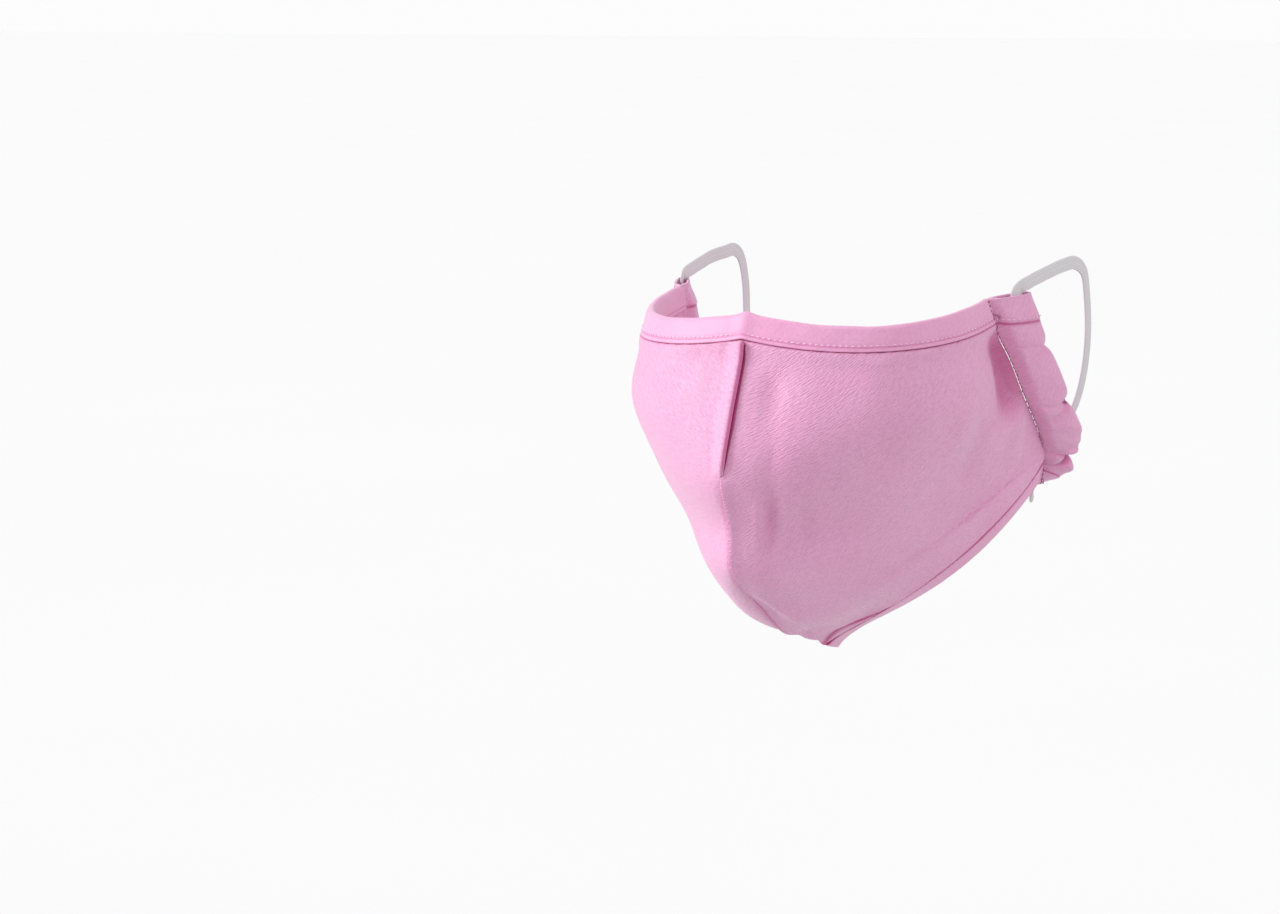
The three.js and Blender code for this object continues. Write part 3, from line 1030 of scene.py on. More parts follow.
@dataclass
class StitchRow:
    """A row of stitches along a line, made by Geometry Nodes."""

    name: str
    path: np.ndarray
    material: bpy.types.Material
    pitch: float = 0.0023
    length: float = 0.0014
    thickness: float = 0.00062
    sway: float = 0.12  # how far a stitch may turn out of line, in radians
    seed: int = 3
    segments: int = 8
    rings: int = 5

    @property
    def sizes(self) -> dict[str, float]:
        """The values that the node tree takes by name."""
        return {
            "Pitch": self.pitch, "Length": self.length, "Thickness": self.thickness,
            "Sway": self.sway, "Seed": self.seed,
        }

    def tree(self) -> bpy.types.NodeTree:
        """The node tree that lays one stitch at each step of the line.

        Returns:
            The tree, with a named input for each size.
        """
        tree = bpy.data.node_groups.new(self.name, "GeometryNodeTree")
        face = tree.interface
        face.new_socket("Geometry", in_out="INPUT", socket_type="NodeSocketGeometry")
        for title, value in self.sizes.items():
            kind = "NodeSocketInt" if isinstance(value, int) else "NodeSocketFloat"
            face.new_socket(title, in_out="INPUT", socket_type=kind)
        face.new_socket("Geometry", in_out="OUTPUT", socket_type="NodeSocketGeometry")
        board = NodeBoard(tree)
        given = board.add("NodeGroupInput").outputs
        result = board.add("NodeGroupOutput")
        line = board.add("GeometryNodeMeshToCurve")
        steps = board.add("GeometryNodeResampleCurve", mode="LENGTH")
        stitch = board.add("GeometryNodeMeshUVSphere")
        board.put(stitch, Segments=self.segments, Rings=self.rings, Radius=0.5)
        size = board.add("ShaderNodeCombineXYZ")
        heading = board.add("FunctionNodeAlignRotationToVector", axis="Z")
        tangent = board.add("GeometryNodeInputTangent")
        sway = board.add("FunctionNodeRandomValue", data_type="FLOAT_VECTOR")
        opposite = board.add("ShaderNodeMath", operation="MULTIPLY")
        opposite.inputs[1].default_value = -1.0
        turned = board.add("FunctionNodeRotateRotation", rotation_space="LOCAL")
        laid = board.add("GeometryNodeInstanceOnPoints")
        real = board.add("GeometryNodeRealizeInstances")
        dressed = board.add("GeometryNodeSetMaterial")
        dressed.inputs["Material"].default_value = self.material
        for source, target in (
            (given["Geometry"], line.inputs["Mesh"]),
            (line.outputs["Curve"], steps.inputs["Curve"]),
            (given["Pitch"], steps.inputs["Length"]),
            (given["Thickness"], size.inputs["X"]),
            (given["Thickness"], size.inputs["Y"]),
            (given["Length"], size.inputs["Z"]),
            (tangent.outputs["Tangent"], heading.inputs["Vector"]),
            (given["Sway"], opposite.inputs[0]),
            (opposite.outputs["Value"], sway.inputs["Min"]),
            (given["Sway"], sway.inputs["Max"]),
            (given["Seed"], sway.inputs["Seed"]),
            (heading.outputs["Rotation"], turned.inputs["Rotation"]),
            (sway.outputs["Value"], turned.inputs["Rotate By"]),
            (steps.outputs["Curve"], laid.inputs["Points"]),
            (stitch.outputs["Mesh"], laid.inputs["Instance"]),
            (turned.outputs["Rotation"], laid.inputs["Rotation"]),
            (size.outputs["Vector"], laid.inputs["Scale"]),
            (laid.outputs["Instances"], real.inputs["Geometry"]),
            (real.outputs["Geometry"], dressed.inputs["Geometry"]),
            (dressed.outputs["Geometry"], result.inputs["Geometry"]),
        ):
            board.link(source, target)
        return tree

    def make(self) -> bpy.types.Object:
        """Lays the stitches and leaves them as a plain mesh.

        Returns:
            The finished piece.
        """
        mesh = bpy.data.meshes.new(self.name + "_line")
        links = [(i, i + 1) for i in range(len(self.path) - 1)]
        mesh.from_pydata(self.path.tolist(), links, [])
        made = bpy.data.objects.new(self.name, mesh)
        bpy.context.scene.collection.objects.link(made)
        maker = made.modifiers.new("stitches", "NODES")
        maker.node_group = self.tree()
        for item in maker.node_group.interface.items_tree:
            if item.in_out == "INPUT" and item.name in self.sizes:
                maker[item.identifier] = self.sizes[item.name]
        graph = bpy.context.evaluated_depsgraph_get()
        made.data = bpy.data.meshes.new_from_object(made.evaluated_get(graph))
        made.data.name = self.name
        made.modifiers.clear()
        made.data.shade_smooth()
        return made


def ride(piece: bpy.types.Object, slot: str, *nodes: str) -> None:
    """Fixes a finished piece to the mask.

    Args:
        piece: The piece.
        slot: The name of a material slot; not used.
        nodes: The CAD nodes that it stands for.
    """
    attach(piece, BODY)
    if nodes:
        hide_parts(*nodes)


@dataclass(frozen=True)
class PanelCloth:
    """Where a panel's points lie on its cloth, in metres, and its SEAM values there."""

    distance: np.ndarray  # from the upper edge
    to_end: np.ndarray  # from the lower edge
    from_edge: np.ndarray  # beyond the nearer binding
    from_seam: np.ndarray
    from_side: np.ndarray
    over: np.ndarray  # above 0 where this panel stands over the other one
    lap: np.ndarray
    dark: np.ndarray


@dataclass
class Panel:
    """One half of the cloth front, from the centre seam to the side stitch line."""

    side: Side
    stations_across: int = 160
    rows_down: int = 280
    crowding: float = 0.72  # how much closer the points stand near the edges
    rim: int = 5  # points round the seam edge
    rim_bulge: float = 0.8  # how far the rim stands out, as a share of half the wall
    rim_extra: SoftLine = SoftLine(0.0009, 0.0018)  # wall added to a rolled edge
    lift: float = 0.002  # how high a rolled edge stands
    roll: float = 0.0042  # how far from the seam that height fades
    groove_at: float = 0.0078  # the dent behind a rolled edge
    groove_reach: float = 0.0028
    covered_drop: float = 0.0004  # how far the covered panel drops beside a rolled edge
    # painted shade beside a rolled edge, on the covered panel and on the rim
    covered_shade: float = 0.6
    covered_blur: float = 0.0004
    lap_shade: SoftLine = SoftLine(0.5, 0.0009)
    roll_shade: SoftLine = SoftLine(0.6, 0.0004)
    seam_margin: float = 0.0018  # where the overlap begins beside a binding
    margin: float = 0.005  # where the folds begin beside a binding
    side_margin: float = 0.0018  # where the folds begin beside the stitch line
    side_sink: SoftLine = SoftLine(0.0005, 0.0012)
    # painted shade beside the side stitch line
    side_shade: SoftLine = SoftLine(0.12, 0.0007)
    swell: SoftLine = SoftLine(0.00125, 0.004)  # the full cloth beside a binding
    swell_width: float = 0.0006
    swell_start: float = 0.00005  # distance from the binding
    swell_slope: float = 0.0003
    # painted shade in the slot beside a binding
    binding_shade: SoftLine = SoftLine(0.5, 0.0004)
    broad_waves: Waves = Waves(0.00035, 0.034, 5)
    top_puckers: Waves = Waves(0.00022, 0.009, 11, (1.0, 0.25))
    top_pucker_reach: float = 0.011
    side_puckers: Waves = Waves(0.0003, 0.0085, 17, (0.2, 1.0))
    side_pucker_reach: float = 0.009
    tuck_base: float = 0.0005  # the cloth seen below the line where the panel hangs over
    tuck_height: float = 0.0056  # how much more of it shows at its highest place
    tuck_at: float = 0.15  # that place, as a share across
    tuck_reach: float = 0.17
    # painted shade along the line where the panel hangs over its lower hem
    tuck_shade: SoftLine = SoftLine(0.98, 0.0014)
    tuck_shade_below: float = 0.0011
    lip: SoftLine = SoftLine(0.0009, 0.009)  # the rim that hangs over
    lip_slope: float = 0.0012
    lip_crest: float = 0.002
    lip_start: float = 0.008  # distance from the seam
    lip_fade: float = 0.02
    flat: Pair = (0.131, 0.178)
    flat_area: float = 0.0186

    def folds(self, points: np.ndarray) -> tuple[np.ndarray, np.ndarray]:
        """The soft folds of the panel.

        Args:
            points: Places on the form.

        Returns:
            How far the cloth stands off there, and how much painted shade it carries.
        """
        height, painted_shade = np.zeros(points.shape[:-1]), np.zeros(points.shape[:-1])
        sign = self.side.value
        for fold in PANEL_FOLDS[self.side]:
            start, end = (
                FORM.point(np.array(sign * across), np.array(down))
                for across, down in (fold.start, fold.end)
            )
            line = end - start
            share = np.clip(((points - start) @ line) / (line @ line), 0.0, 1.0)
            nearest = start + share[..., None] * line
            shape = bell(np.linalg.norm(points - nearest, axis=-1), fold.width * BINDING_WIDTH)
            shape = shape * smooth(4 * share * (1 - share))
            height += fold.height * CLOTH * shape
            painted_shade += fold.painted_shade * shape
        return height, painted_shade

    def crowded(self, count: int) -> np.ndarray:
        """Shares from 0 to 1 that stand closer together near both ends."""
        even = np.linspace(0.0, 1.0, count)
        return even - self.crowding * np.sin(2 * math.pi * even) / (2 * math.pi)

    def piece(self) -> ClothPiece:
        """The panel as one closed shell with a rounded seam edge.

        Returns:
            The piece, ready to make.
        """
        sign = self.side.value
        steps = self.crowded(self.stations_across)
        length = FORM.measure(steps)[1][:, -1:]
        end = BINDING_WALL + GAP
        distance = end + (length - 2 * end) * self.crowded(self.rows_down)[None, :]
        down = FORM.down_at(steps, distance)
        cloth = self.cloth(steps[:, None], distance, length, down)
        reach = np.where(cloth.over > 0, SEAM_LAP * cloth.lap, 0.0)
        start = (GAP / 2 - reach) / FORM.row_length
        across = sign * (start + (1.0 - start) * steps[:, None])
        points, normals = FORM.point(across, down), FORM.normal(across, down)
        folds, folded = self.folds(points)
        height = self.height(cloth, folds)
        wall = CLOTH + self.rim_extra.at(cloth.from_seam) * smooth(cloth.over)
        outer = points + normals * height[..., None]
        inner = points + normals * (height - wall)[..., None]
        flush = reach == 0
        for layer in (outer, inner):
            kept = sign * np.maximum(sign * layer[..., 0], GAP / 2)
            layer[..., 0] = np.where(flush, kept, layer[..., 0])
        rings = np.concatenate([outer, inner[::-1], self.rounded_rim(outer, inner)])
        mesh_points, faces = folded_solid(rings.transpose(1, 0, 2), self.stations_across, self.rim)
        from_seam = np.broadcast_to(cloth.from_seam, distance.shape)
        uv = np.stack([self.spread(from_seam), self.spread(distance)], axis=-1)
        painted_shade = self.spread(self.painted_shade(cloth, folded))
        return ClothPiece(f"panel_{self.side.word}_cloth", mesh_points, faces, uv, painted_shade)

    def cloth(
        self, steps: np.ndarray, distance: np.ndarray, length: np.ndarray, down: np.ndarray
    ) -> PanelCloth:
        """Where the panel's points lie on its cloth.

        Args:
            steps: Shares across, one for each station.
            distance: Distances from the upper edge, by station and row.
            length: Length of the cloth at each station.
            down: The same rows as shares down the form.

        Returns:
            The distances and the seam's values.
        """
        from_edge = np.minimum(distance, length - distance) - BINDING_WIDTH - GAP
        begun = smooth(from_edge / self.seam_margin)
        over, lap, dark = (begun * values for values in self.seam(down))
        return PanelCloth(
            distance=distance, to_end=length - distance, from_edge=from_edge,
            from_seam=steps * FORM.row_length, from_side=(1.0 - steps) * FORM.row_length,
            over=over, lap=lap, dark=dark,
        )

    def seam(self, down: np.ndarray) -> tuple[np.ndarray, np.ndarray, np.ndarray]:
        """How this panel meets the other one.

        Args:
            down: Shares down the panel.

        Returns:
            How far the panel stands over the other one, from -1 to 1, and the SEAM table's lap
            and dark at each share.
        """
        at = [place.at for place in SEAM]
        over, lap, dark = (
            np.interp(down, at, [getattr(place, name) for place in SEAM])
            for name in ("over", "lap", "dark")
        )
        return -self.side.value * over, lap, dark

    def height(self, cloth: PanelCloth, folds: np.ndarray) -> np.ndarray:
        """How far the outer layer stands off the form.

        Args:
            cloth: Where the points lie on the cloth.
            folds: Heights of the soft folds.

        Returns:
            Heights in metres.
        """
        rise = np.where(cloth.over > 0, self.lift, SEAM_SINK[self.side])
        rolled = bell(cloth.from_seam, self.roll) * cloth.over * rise
        dent = SEAM_GROOVE[self.side] * bell(cloth.from_seam - self.groove_at, self.groove_reach)
        drop = np.where(cloth.over < 0, self.covered_drop * self.covered(cloth), 0.0)
        calm = smooth(cloth.from_edge / self.margin) * smooth(cloth.from_side / self.side_margin)
        full = self.swell.at(np.maximum(cloth.from_edge - self.swell_width, 0))
        full = full * smooth((cloth.from_edge + GAP - self.swell_start) / self.swell_slope)
        total = rolled - dent * smooth(cloth.over) - drop
        total += calm * (folds + self.small_waves(cloth))
        return total + full + self.hanging_lip(cloth) - self.side_sink.at(cloth.from_side)

    def painted_shade(self, cloth: PanelCloth, folded: np.ndarray) -> np.ndarray:
        """How much painted shade the cloth carries: beside rolled edges, the stitch line and
        bindings, and under the hanging rim.

        Args:
            cloth: Where the points lie on the cloth.
            folded: The painted shade of the soft folds.

        Returns:
            Shares of the deep tone, painted as shade.
        """
        beyond_lap = cloth.from_seam - SEAM_LAP * cloth.lap
        beside_roll = self.covered_shade * self.covered(cloth) + self.lap_shade.at(beyond_lap)
        total = folded + np.where(cloth.over < 0, beside_roll, 0.0)
        total += self.roll_shade.at(cloth.from_seam) * smooth(cloth.over)
        total += self.side_shade.at(cloth.from_side) + self.binding_shade.at(cloth.from_edge)
        return total + self.tuck_shade.at(self.over_tuck(cloth) + self.tuck_shade_below)

    def covered(self, cloth: PanelCloth) -> np.ndarray:
        """1 on the covered panel close beside a rolled edge, and 0 beyond."""
        beyond_lap = cloth.from_seam - SEAM_LAP * cloth.lap
        return smooth((SEAM_SHADE * cloth.dark - beyond_lap) / self.covered_blur)

    def small_waves(self, cloth: PanelCloth) -> np.ndarray:
        """Low unevenness, with puckers beside the sewn edges.

        Args:
            cloth: Where the points lie on the cloth.

        Returns:
            Heights in metres.
        """
        places = cloth.from_side, cloth.distance
        near_top = bell(cloth.distance - BINDING_WIDTH, self.top_pucker_reach)
        near_side = bell(cloth.from_side, self.side_pucker_reach)
        broad = self.broad_waves.at(*places, self.side.value)
        puckers = self.top_puckers.at(*places) * near_top
        return broad + puckers + self.side_puckers.at(*places) * near_side

    def over_tuck(self, cloth: PanelCloth) -> np.ndarray:
        """Height above the line where the panel hangs over its lower hem.

        Args:
            cloth: Where the points lie on the cloth.

        Returns:
            Distances in metres, negative below the line.
        """
        share = cloth.from_seam / FORM.row_length
        raised = self.tuck_height * bell(share - self.tuck_at, self.tuck_reach)
        return cloth.to_end - BINDING_WIDTH - self.tuck_base - raised

    def hanging_lip(self, cloth: PanelCloth) -> np.ndarray:
        """The rim of the panel that hangs over its lower hem.

        Args:
            cloth: Where the points lie on the cloth.

        Returns:
            Heights in metres.
        """
        past = self.over_tuck(cloth)
        lip = self.lip.at(past - self.lip_crest) * smooth(past / self.lip_slope)
        return lip * smooth((cloth.from_seam - self.lip_start) / self.lip_fade)

    def rounded_rim(self, outer: np.ndarray, inner: np.ndarray) -> np.ndarray:
        """A half round along the seam edge, from the inner layer to the outer one.

        Args:
            outer: The outer layer by station and row.
            inner: The inner layer by station and row.

        Returns:
            The rim's points by place and row.
        """
        middle, half = (outer[0] + inner[0]) / 2, (outer[0] - inner[0]) / 2
        beyond = unit(outer[0] - outer[2]) * np.linalg.norm(half, axis=-1, keepdims=True)
        angles = np.linspace(-math.pi / 2, math.pi / 2, self.rim + 2)[1:-1]
        return np.array([
            middle + math.sin(a) * half + self.rim_bulge * math.cos(a) * beyond for a in angles
        ])

    def spread(self, values: np.ndarray) -> np.ndarray:
        """Values of the outer layer laid over all points of the shell.

        Args:
            values: The values by station and row.

        Returns:
            One value for each point of the mesh.
        """
        rim = np.repeat(values[:1], self.rim, axis=0)
        return np.concatenate([values, values[::-1], rim]).T.reshape(-1)

    def build(self, finishes: Finishes) -> bpy.types.Object:
        """Makes and dresses the panel.

        Args:
            finishes: The mask's materials.

        Returns:
            The finished piece.
        """
        made = self.piece().make(finishes.panel)
        ride(made, "panel_cloth", f"panel_{self.side.word}")
        return made


@dataclass
class Binding:
    """A folded strip of cloth round the upper or the lower edge of both panels."""

    edge: Edge
    stations: int = 320
    turns: int = 9  # points round the folded edge
    flank: int = 30  # points across each layer
    nearest: float = 1e-6  # smallest distance that still counts from the lower edge
    dome: float = 0.00012  # how far the strip swells between its fold and its stitches
    behind: float = -0.4  # share of the relief on the hidden layer
    waves: Waves = Waves(0.00014, 0.011, 23)
    edge_waves: Waves = Waves(0.00018, 0.02, 29)
    seam_bump: SoftLine = SoftLine(0.0007, 0.0034)  # over the centre seam
    seam_rise: float = 0.0006  # how far the upper folded edge stands up there
    stitch_at: float = 0.78  # share of the width from the folded edge
    stitch_groove: SoftLine = SoftLine(0.00018, 0.0006)
    stitch_wander: Waves = Waves(0.02, 0.35, 31)
    stitch_off: float = 0.0001  # how far the thread's middle stands out of its groove
    stitch_end: float = 0.995  # share across where the stitches end
    stitch_points: int = 400
    pucker: float = 0.35  # how unevenly the groove is drawn in
    pucker_pitch: float = 0.0021
    # painted shade just past the stitches and along the strip's edge
    stitch_shade: SoftLine = SoftLine(0.45, 0.0004)
    stitch_shade_at: float = 0.055  # share of the width beyond the stitches
    edge_shade: SoftLine = SoftLine(0.4, 0.00025)
    under_shade: float = 0.9  # painted shade along the cut edge of the lower strip, where the panel's rim hangs over it
    under_from: float = 0.78
    under_blur: float = 0.1
    flat: Pair = (0.0226, 0.192)

    def sheet_line(self) -> tuple[np.ndarray, np.ndarray]:
        """The middle line of the folded strip in section.

        Returns:
            Distances from the folded edge, and heights off the outside of the panel.
        """
        half = (CLOTH + 2 * GAP + BINDING_WALL) / 2
        reach = np.linspace(BINDING_WIDTH, half, self.flank)
        level = np.full_like(reach, half)
        angles = np.linspace(math.pi / 2, -math.pi / 2, self.turns)[1:-1]
        away = np.concatenate([reach, half - half * np.cos(angles), reach[::-1]])
        height = np.concatenate([level, half * np.sin(angles), -level])
        return away, height - CLOTH / 2

    def section(self) -> tuple[np.ndarray, np.ndarray, int]:
        """The strip in section, with its wall.

        Returns:
            Distances from the folded edge, heights off the panel, and points in each half.
        """
        away, height = self.sheet_line()
        slope = unit(np.stack([np.gradient(away), np.gradient(height)], axis=-1))
        out = np.stack([slope[:, 1], -slope[:, 0]], axis=-1) * BINDING_WALL / 2
        line = np.stack([away, height], axis=-1)
        whole = np.concatenate([line + out, (line - out)[::-1]])
        return whole[:, 0], whole[:, 1], len(away)

    def piece(self) -> ClothPiece:
        """The binding as one closed shell.

        Returns:
            The piece, ready to make.
        """
        away, height, half = self.section()
        across = np.linspace(-1.0, 1.0, self.stations)
        run = self.run(across)
        top = self.edge is Edge.TOP
        shift = (self.edge_rise(run) if top else np.zeros_like(run))[:, None]
        reach = away[None, :] - shift * (1 - away[None, :] / BINDING_WIDTH)
        distance = np.maximum(reach, 0.0) if top else -np.maximum(reach, self.nearest)
        down = FORM.down_at(across, distance)
        normals = FORM.normal(across[:, None], down)
        tall = height[None, :] + self.relief(run, away)
        points = FORM.point(across[:, None], down) + normals * tall[..., None]
        beyond = np.minimum(reach, 0.0)
        points[..., 2] += -beyond if top else beyond
        uv = np.stack(np.broadcast_arrays(run[:, None], away[None, :]), axis=-1).reshape(-1, 2)
        mesh_points, faces = folded_solid(points, half)
        painted_shade = np.broadcast_to(self.painted_shade(away), points.shape[:2]).reshape(-1)
        return ClothPiece(f"{self.edge.value}_binding_cloth", mesh_points, faces, uv, painted_shade)

    def relief(self, run: np.ndarray, away: np.ndarray) -> np.ndarray:
        """The low relief of the strip.

        Args:
            run: Distances along it, one for each station.
            away: Distances from the folded edge, one for each place in section.

        Returns:
            Heights by station and place.
        """
        order = np.arange(len(away))
        front = (order < self.flank) | (order >= len(away) - self.flank)
        stitch_line = self.stitch_at * BINDING_WIDTH
        domed = self.dome * np.sin(math.pi * np.clip(away / stitch_line, 0, 1))
        drawn = 1.0 + self.pucker * np.sin(2 * math.pi * run / self.pucker_pitch)[:, None]
        total = domed[None, :] - self.stitch_groove.at(away - stitch_line)[None, :] * drawn
        total += self.waves.at(run[:, None], away[None, :])
        total += np.where(front, self.seam_bump.at(run)[:, None], 0.0)
        return total * np.where(front, 1.0, self.behind)

    def edge_rise(self, run: np.ndarray) -> np.ndarray:
        """How far the upper folded edge stands up, at distances along it."""
        over_seam = self.seam_rise * bell(run, self.seam_bump.reach)
        return over_seam + self.edge_waves.at(run, 0 * run)

    def painted_shade(self, away: np.ndarray) -> np.ndarray:
        """How much painted shade the strip carries, past its stitches and along its edges.

        Args:
            away: Distances from the folded edge.

        Returns:
            Shares of the deep tone, painted as shade.
        """
        beyond_stitches = away - (self.stitch_at + self.stitch_shade_at) * BINDING_WIDTH
        total = self.stitch_shade.at(beyond_stitches) + self.edge_shade.at(away - BINDING_WIDTH)
        if self.edge is Edge.BOTTOM:
            past = (away / BINDING_WIDTH - self.under_from) / self.under_blur
            total += self.under_shade * smooth(past)
        return total

    def run(self, across: np.ndarray) -> np.ndarray:
        """Distances along the folded edge.

        Args:
            across: Shares across the mask, in order.

        Returns:
            The distance of each from the centre, in metres.
        """
        line = FORM.point(across, np.full_like(across, 0.0 if self.edge is Edge.TOP else 1.0))
        steps = np.linalg.norm(np.diff(line, axis=0), axis=-1)
        length = np.concatenate([[0.0], np.cumsum(steps)])
        return length - length[-1] / 2

    def stitch_path(self) -> np.ndarray:
        """The line that the stitches follow, just on the outer layer.

        Returns:
            Points along the binding.
        """
        across = np.linspace(-self.stitch_end, self.stitch_end, self.stitch_points)
        wander = self.stitch_wander.at(across, 0 * across)
        reach = self.stitch_at * BINDING_WIDTH * (1 + wander)
        distance = (reach if self.edge is Edge.TOP else -reach)[:, None]
        down = FORM.down_at(across, distance)[:, 0]
        off = GAP + BINDING_WALL - self.stitch_groove.most + self.stitch_off
        return FORM.point(across, down) + FORM.normal(across, down) * off

    def build(self, finishes: Finishes) -> bpy.types.Object:
        """Makes and dresses the binding and its stitches.

        Args:
            finishes: The mask's materials.

        Returns:
            The finished binding.
        """
        made = self.piece().make(finishes.binding)
        ride(made, "binding_cloth", f"{self.edge.value}_binding")
        name = f"{self.edge.value}_binding_stitches"
        stitches = StitchRow(name, self.stitch_path(), finishes.binding_thread).make()
        ride(stitches, "binding_cloth")
        return made


@dataclass(frozen=True)
class ThreadEnd:
    """A loose end of a side thread: where it leaves the stitch line, and how far it lies out."""

    title: str
    down: float
    reach: float


THREAD_ENDS = (ThreadEnd("upper", 0.06, 0.003), ThreadEnd("lower", 0.985, 0.0024))


@dataclass
class Casing:
    """The gathered tube of cloth at one side, which the elastic runs through.

    The ridge, valley and flap of a gather are shares of puff, and each grows with a power of the
    share of the width from the stitch line.
    """

    side: Side
    rings: int = 320
    around: int = 56
    length_points: int = 200
    nudge: float = 0.001  # share down over which a direction is taken
    start: float = 0.00012  # inner edge, beyond the stitch line
    sewn: float = 0.0035  # cloth between the stitch line and the channel
    sewn_flat: float = 0.0005  # its flat part
    sewn_slope: float = 1.3  # how far the channel takes to open, as a share of sewn
    sewn_layers: float = 0.75  # half the thickness at the stitch line, in walls
    seam_pinch: SoftLine = SoftLine(0.0004, 0.001)
    # painted shade beside the stitch line
    seam_shade: SoftLine = SoftLine(0.1, 0.0008)
    fullness: float = 0.6  # power that makes the section fuller
    behind: float = -0.6  # share of the relief on the hidden layer
    inner_relief: float = 0.9  # share of the relief inside the wall
    least_room: float = 0.0002
    room: float = 0.0017  # half the channel's height for the elastic
    puff: float = 0.0034  # how much fuller it is between two gathers
    notch: float = 0.0036  # how far a gather draws in the outer edge
    notch_above: float = 1.1  # length of that on each side of it, as a share of its spread
    notch_below: float = 0.45
    ridge: float = 0.7
    ridge_above: float = 1.3  # distance above the gather, as a share of its spread
    ridge_reach: float = 0.7
    ridge_power: float = 0.5
    valley: float = 1.2
    valley_power: float = 0.8
    valley_narrow: float = 0.3  # its length at the outer edge, as a share of that at the stitches
    # painted shade in each gather's valley
    valley_shade: float = 0.42
    valley_shade_power: float = 1.6
    flap_slope: float = 0.014  # share down
    flap_start: float = 0.25  # share across
    flap_fade: float = 0.3
    # painted shade under a gather's flap
    flap_shade: SoftLine = SoftLine(0.8, 0.006)
    flap_shade_at: float = 0.004
    crumple: Waves = Waves(0.35, 0.012, 41, (1.0, 0.5))
    usual_width: float = 0.015
    hem: float = 0.0078  # width of the hem round each mouth
    band: float = 0.0006  # how far that hem stands out
    hem_slope: float = 0.0004
    # painted shade just past each mouth's hem
    hem_shade: SoftLine = SoftLine(0.8, 0.0005)
    hem_shade_beyond: float = 0.0002
    hem_stitch_at: float = 0.82  # share of the hem
    hem_stitch_end: float = 0.06  # share of the width left free at each end
    hem_stitch_puff: float = 0.78  # how near to fully open the mouth is there
    hem_stitch_off: float = 0.0003
    hem_stitch_points: int = 60
    stitch_pitch: float = 0.0019
    stitch_swing: float = 0.0002
    stitch_end: float = 0.004  # share of the length left free at each end
    stitch_off: float = 0.00045
    stitch_step: float = 0.00125  # how much higher the stitches lie on a binding
    stitch_step_length: float = 0.001
    stitch_points: int = 300
    loose_rise: float = 0.0017
    loose_arch: float = 0.0009
    loose_turns: float = 1.1
    loose_points: int = 14
    pattern_start: float = 0.1  # where the cloth's pattern begins, apart from the panel's
    flat: Pair = (0.036, 0.1)

    def frame(self, down: np.ndarray) -> tuple[np.ndarray, ...]:
        """The casing's section frame at places down the stitch line.

        Args:
            down: Shares from the upper end to the lower end.

        Returns:
            The places on the stitch line, the directions outwards, the normals, the widths and
            how strongly each place is gathered.
        """
        stitch, edge = FORM.column("side", down), FORM.column("edge", down)
        after, before = (np.clip(down + step, 0, 1) for step in (self.nudge, -self.nudge))
        along = unit(FORM.column("side", after) - FORM.column("side", before))
        gathered = self.notched(down)
        width = np.linalg.norm(edge - stitch, axis=-1) - self.notch * gathered
        outwards = unit(edge - stitch)
        normal = unit(np.cross(along, outwards))
        normal = normal * np.where(normal[..., :1] < 0, -1.0, 1.0)
        flip = np.array([self.side.value, 1.0, 1.0])
        return stitch * flip, outwards * flip, normal * flip, width, gathered

    def length(self) -> float:
        """Length of the stitch line."""
        line = FORM.column("side", np.linspace(0, 1, self.length_points))
        return float(np.linalg.norm(np.diff(line, axis=0), axis=-1).sum())

    def from_mouth(self, down: np.ndarray) -> np.ndarray:
        """Distances from the nearer mouth, at shares down the casing."""
        return np.minimum(down, 1 - down) * self.length()

    def notched(self, down: np.ndarray) -> np.ndarray:
        """How strongly the outer edge is drawn in: gently above each gather, steeply below it.

        Args:
            down: Shares down the casing.

        Returns:
            Shares of the notch.
        """
        total = np.zeros(np.shape(down))
        for gather in GATHERS:
            past = down - gather.at
            length = gather.spread * np.where(past < 0, self.notch_above, self.notch_below)
            total += gather.depth * cusp(past, length)
        return total

    def relief(
        self, down: np.ndarray, share: np.ndarray, from_end: np.ndarray
    ) -> tuple[np.ndarray, np.ndarray]:
        """Folds that fan out from each gather.

        Args:
            down: Share down the casing, one for each ring.
            share: Share of the width from the stitch line, one for each place round a ring.
            from_end: Distance from the nearer mouth, one for each ring.

        Returns:
            Heights of the cloth, and the painted shade in its valleys and under its flaps.
        """
        u = share[None, :]
        total, painted_shade = np.zeros((len(down), len(share))), np.zeros((len(down), len(share)))
        for gather in GATHERS:
            place = down[:, None] - gather.at - gather.slant * (1 - u)
            narrowing = self.valley_narrow + (1 - self.valley_narrow) * (1 - u)
            valley = gather.depth * cusp(place, gather.spread * narrowing)
            above = place + self.ridge_above * gather.spread
            ridge = gather.depth * bell(above, self.ridge_reach * gather.spread)
            flap = gather.flap * smooth(place / self.flap_slope)
            total += self.ridge * ridge * u**self.ridge_power
            total -= self.valley * valley * u**self.valley_power
            total += flap * smooth((u - self.flap_start) / self.flap_fade)
            painted_shade += self.valley_shade * valley * u**self.valley_shade_power
            painted_shade += gather.flap * self.flap_shade.at(place - self.flap_shade_at) * u
        total += u * self.crumple.at(down[:, None] * self.length(), u * self.usual_width)
        open_share = smooth(from_end / BINDING_WIDTH)[:, None]
        return self.puff * open_share * total, painted_shade * open_share

    def half_height(self, beside: np.ndarray, puff: np.ndarray | float) -> np.ndarray:
        """Half the height of the plain tube in its middle.

        Args:
            beside: Distances from the stitch line.
            puff: How far the cloth stands off the elastic's channel.

        Returns:
            Heights in metres.
        """
        opened = smooth((beside - self.sewn_flat) / (self.sewn * self.sewn_slope))
        return CASING_WALL * self.sewn_layers + (self.room + puff) * opened

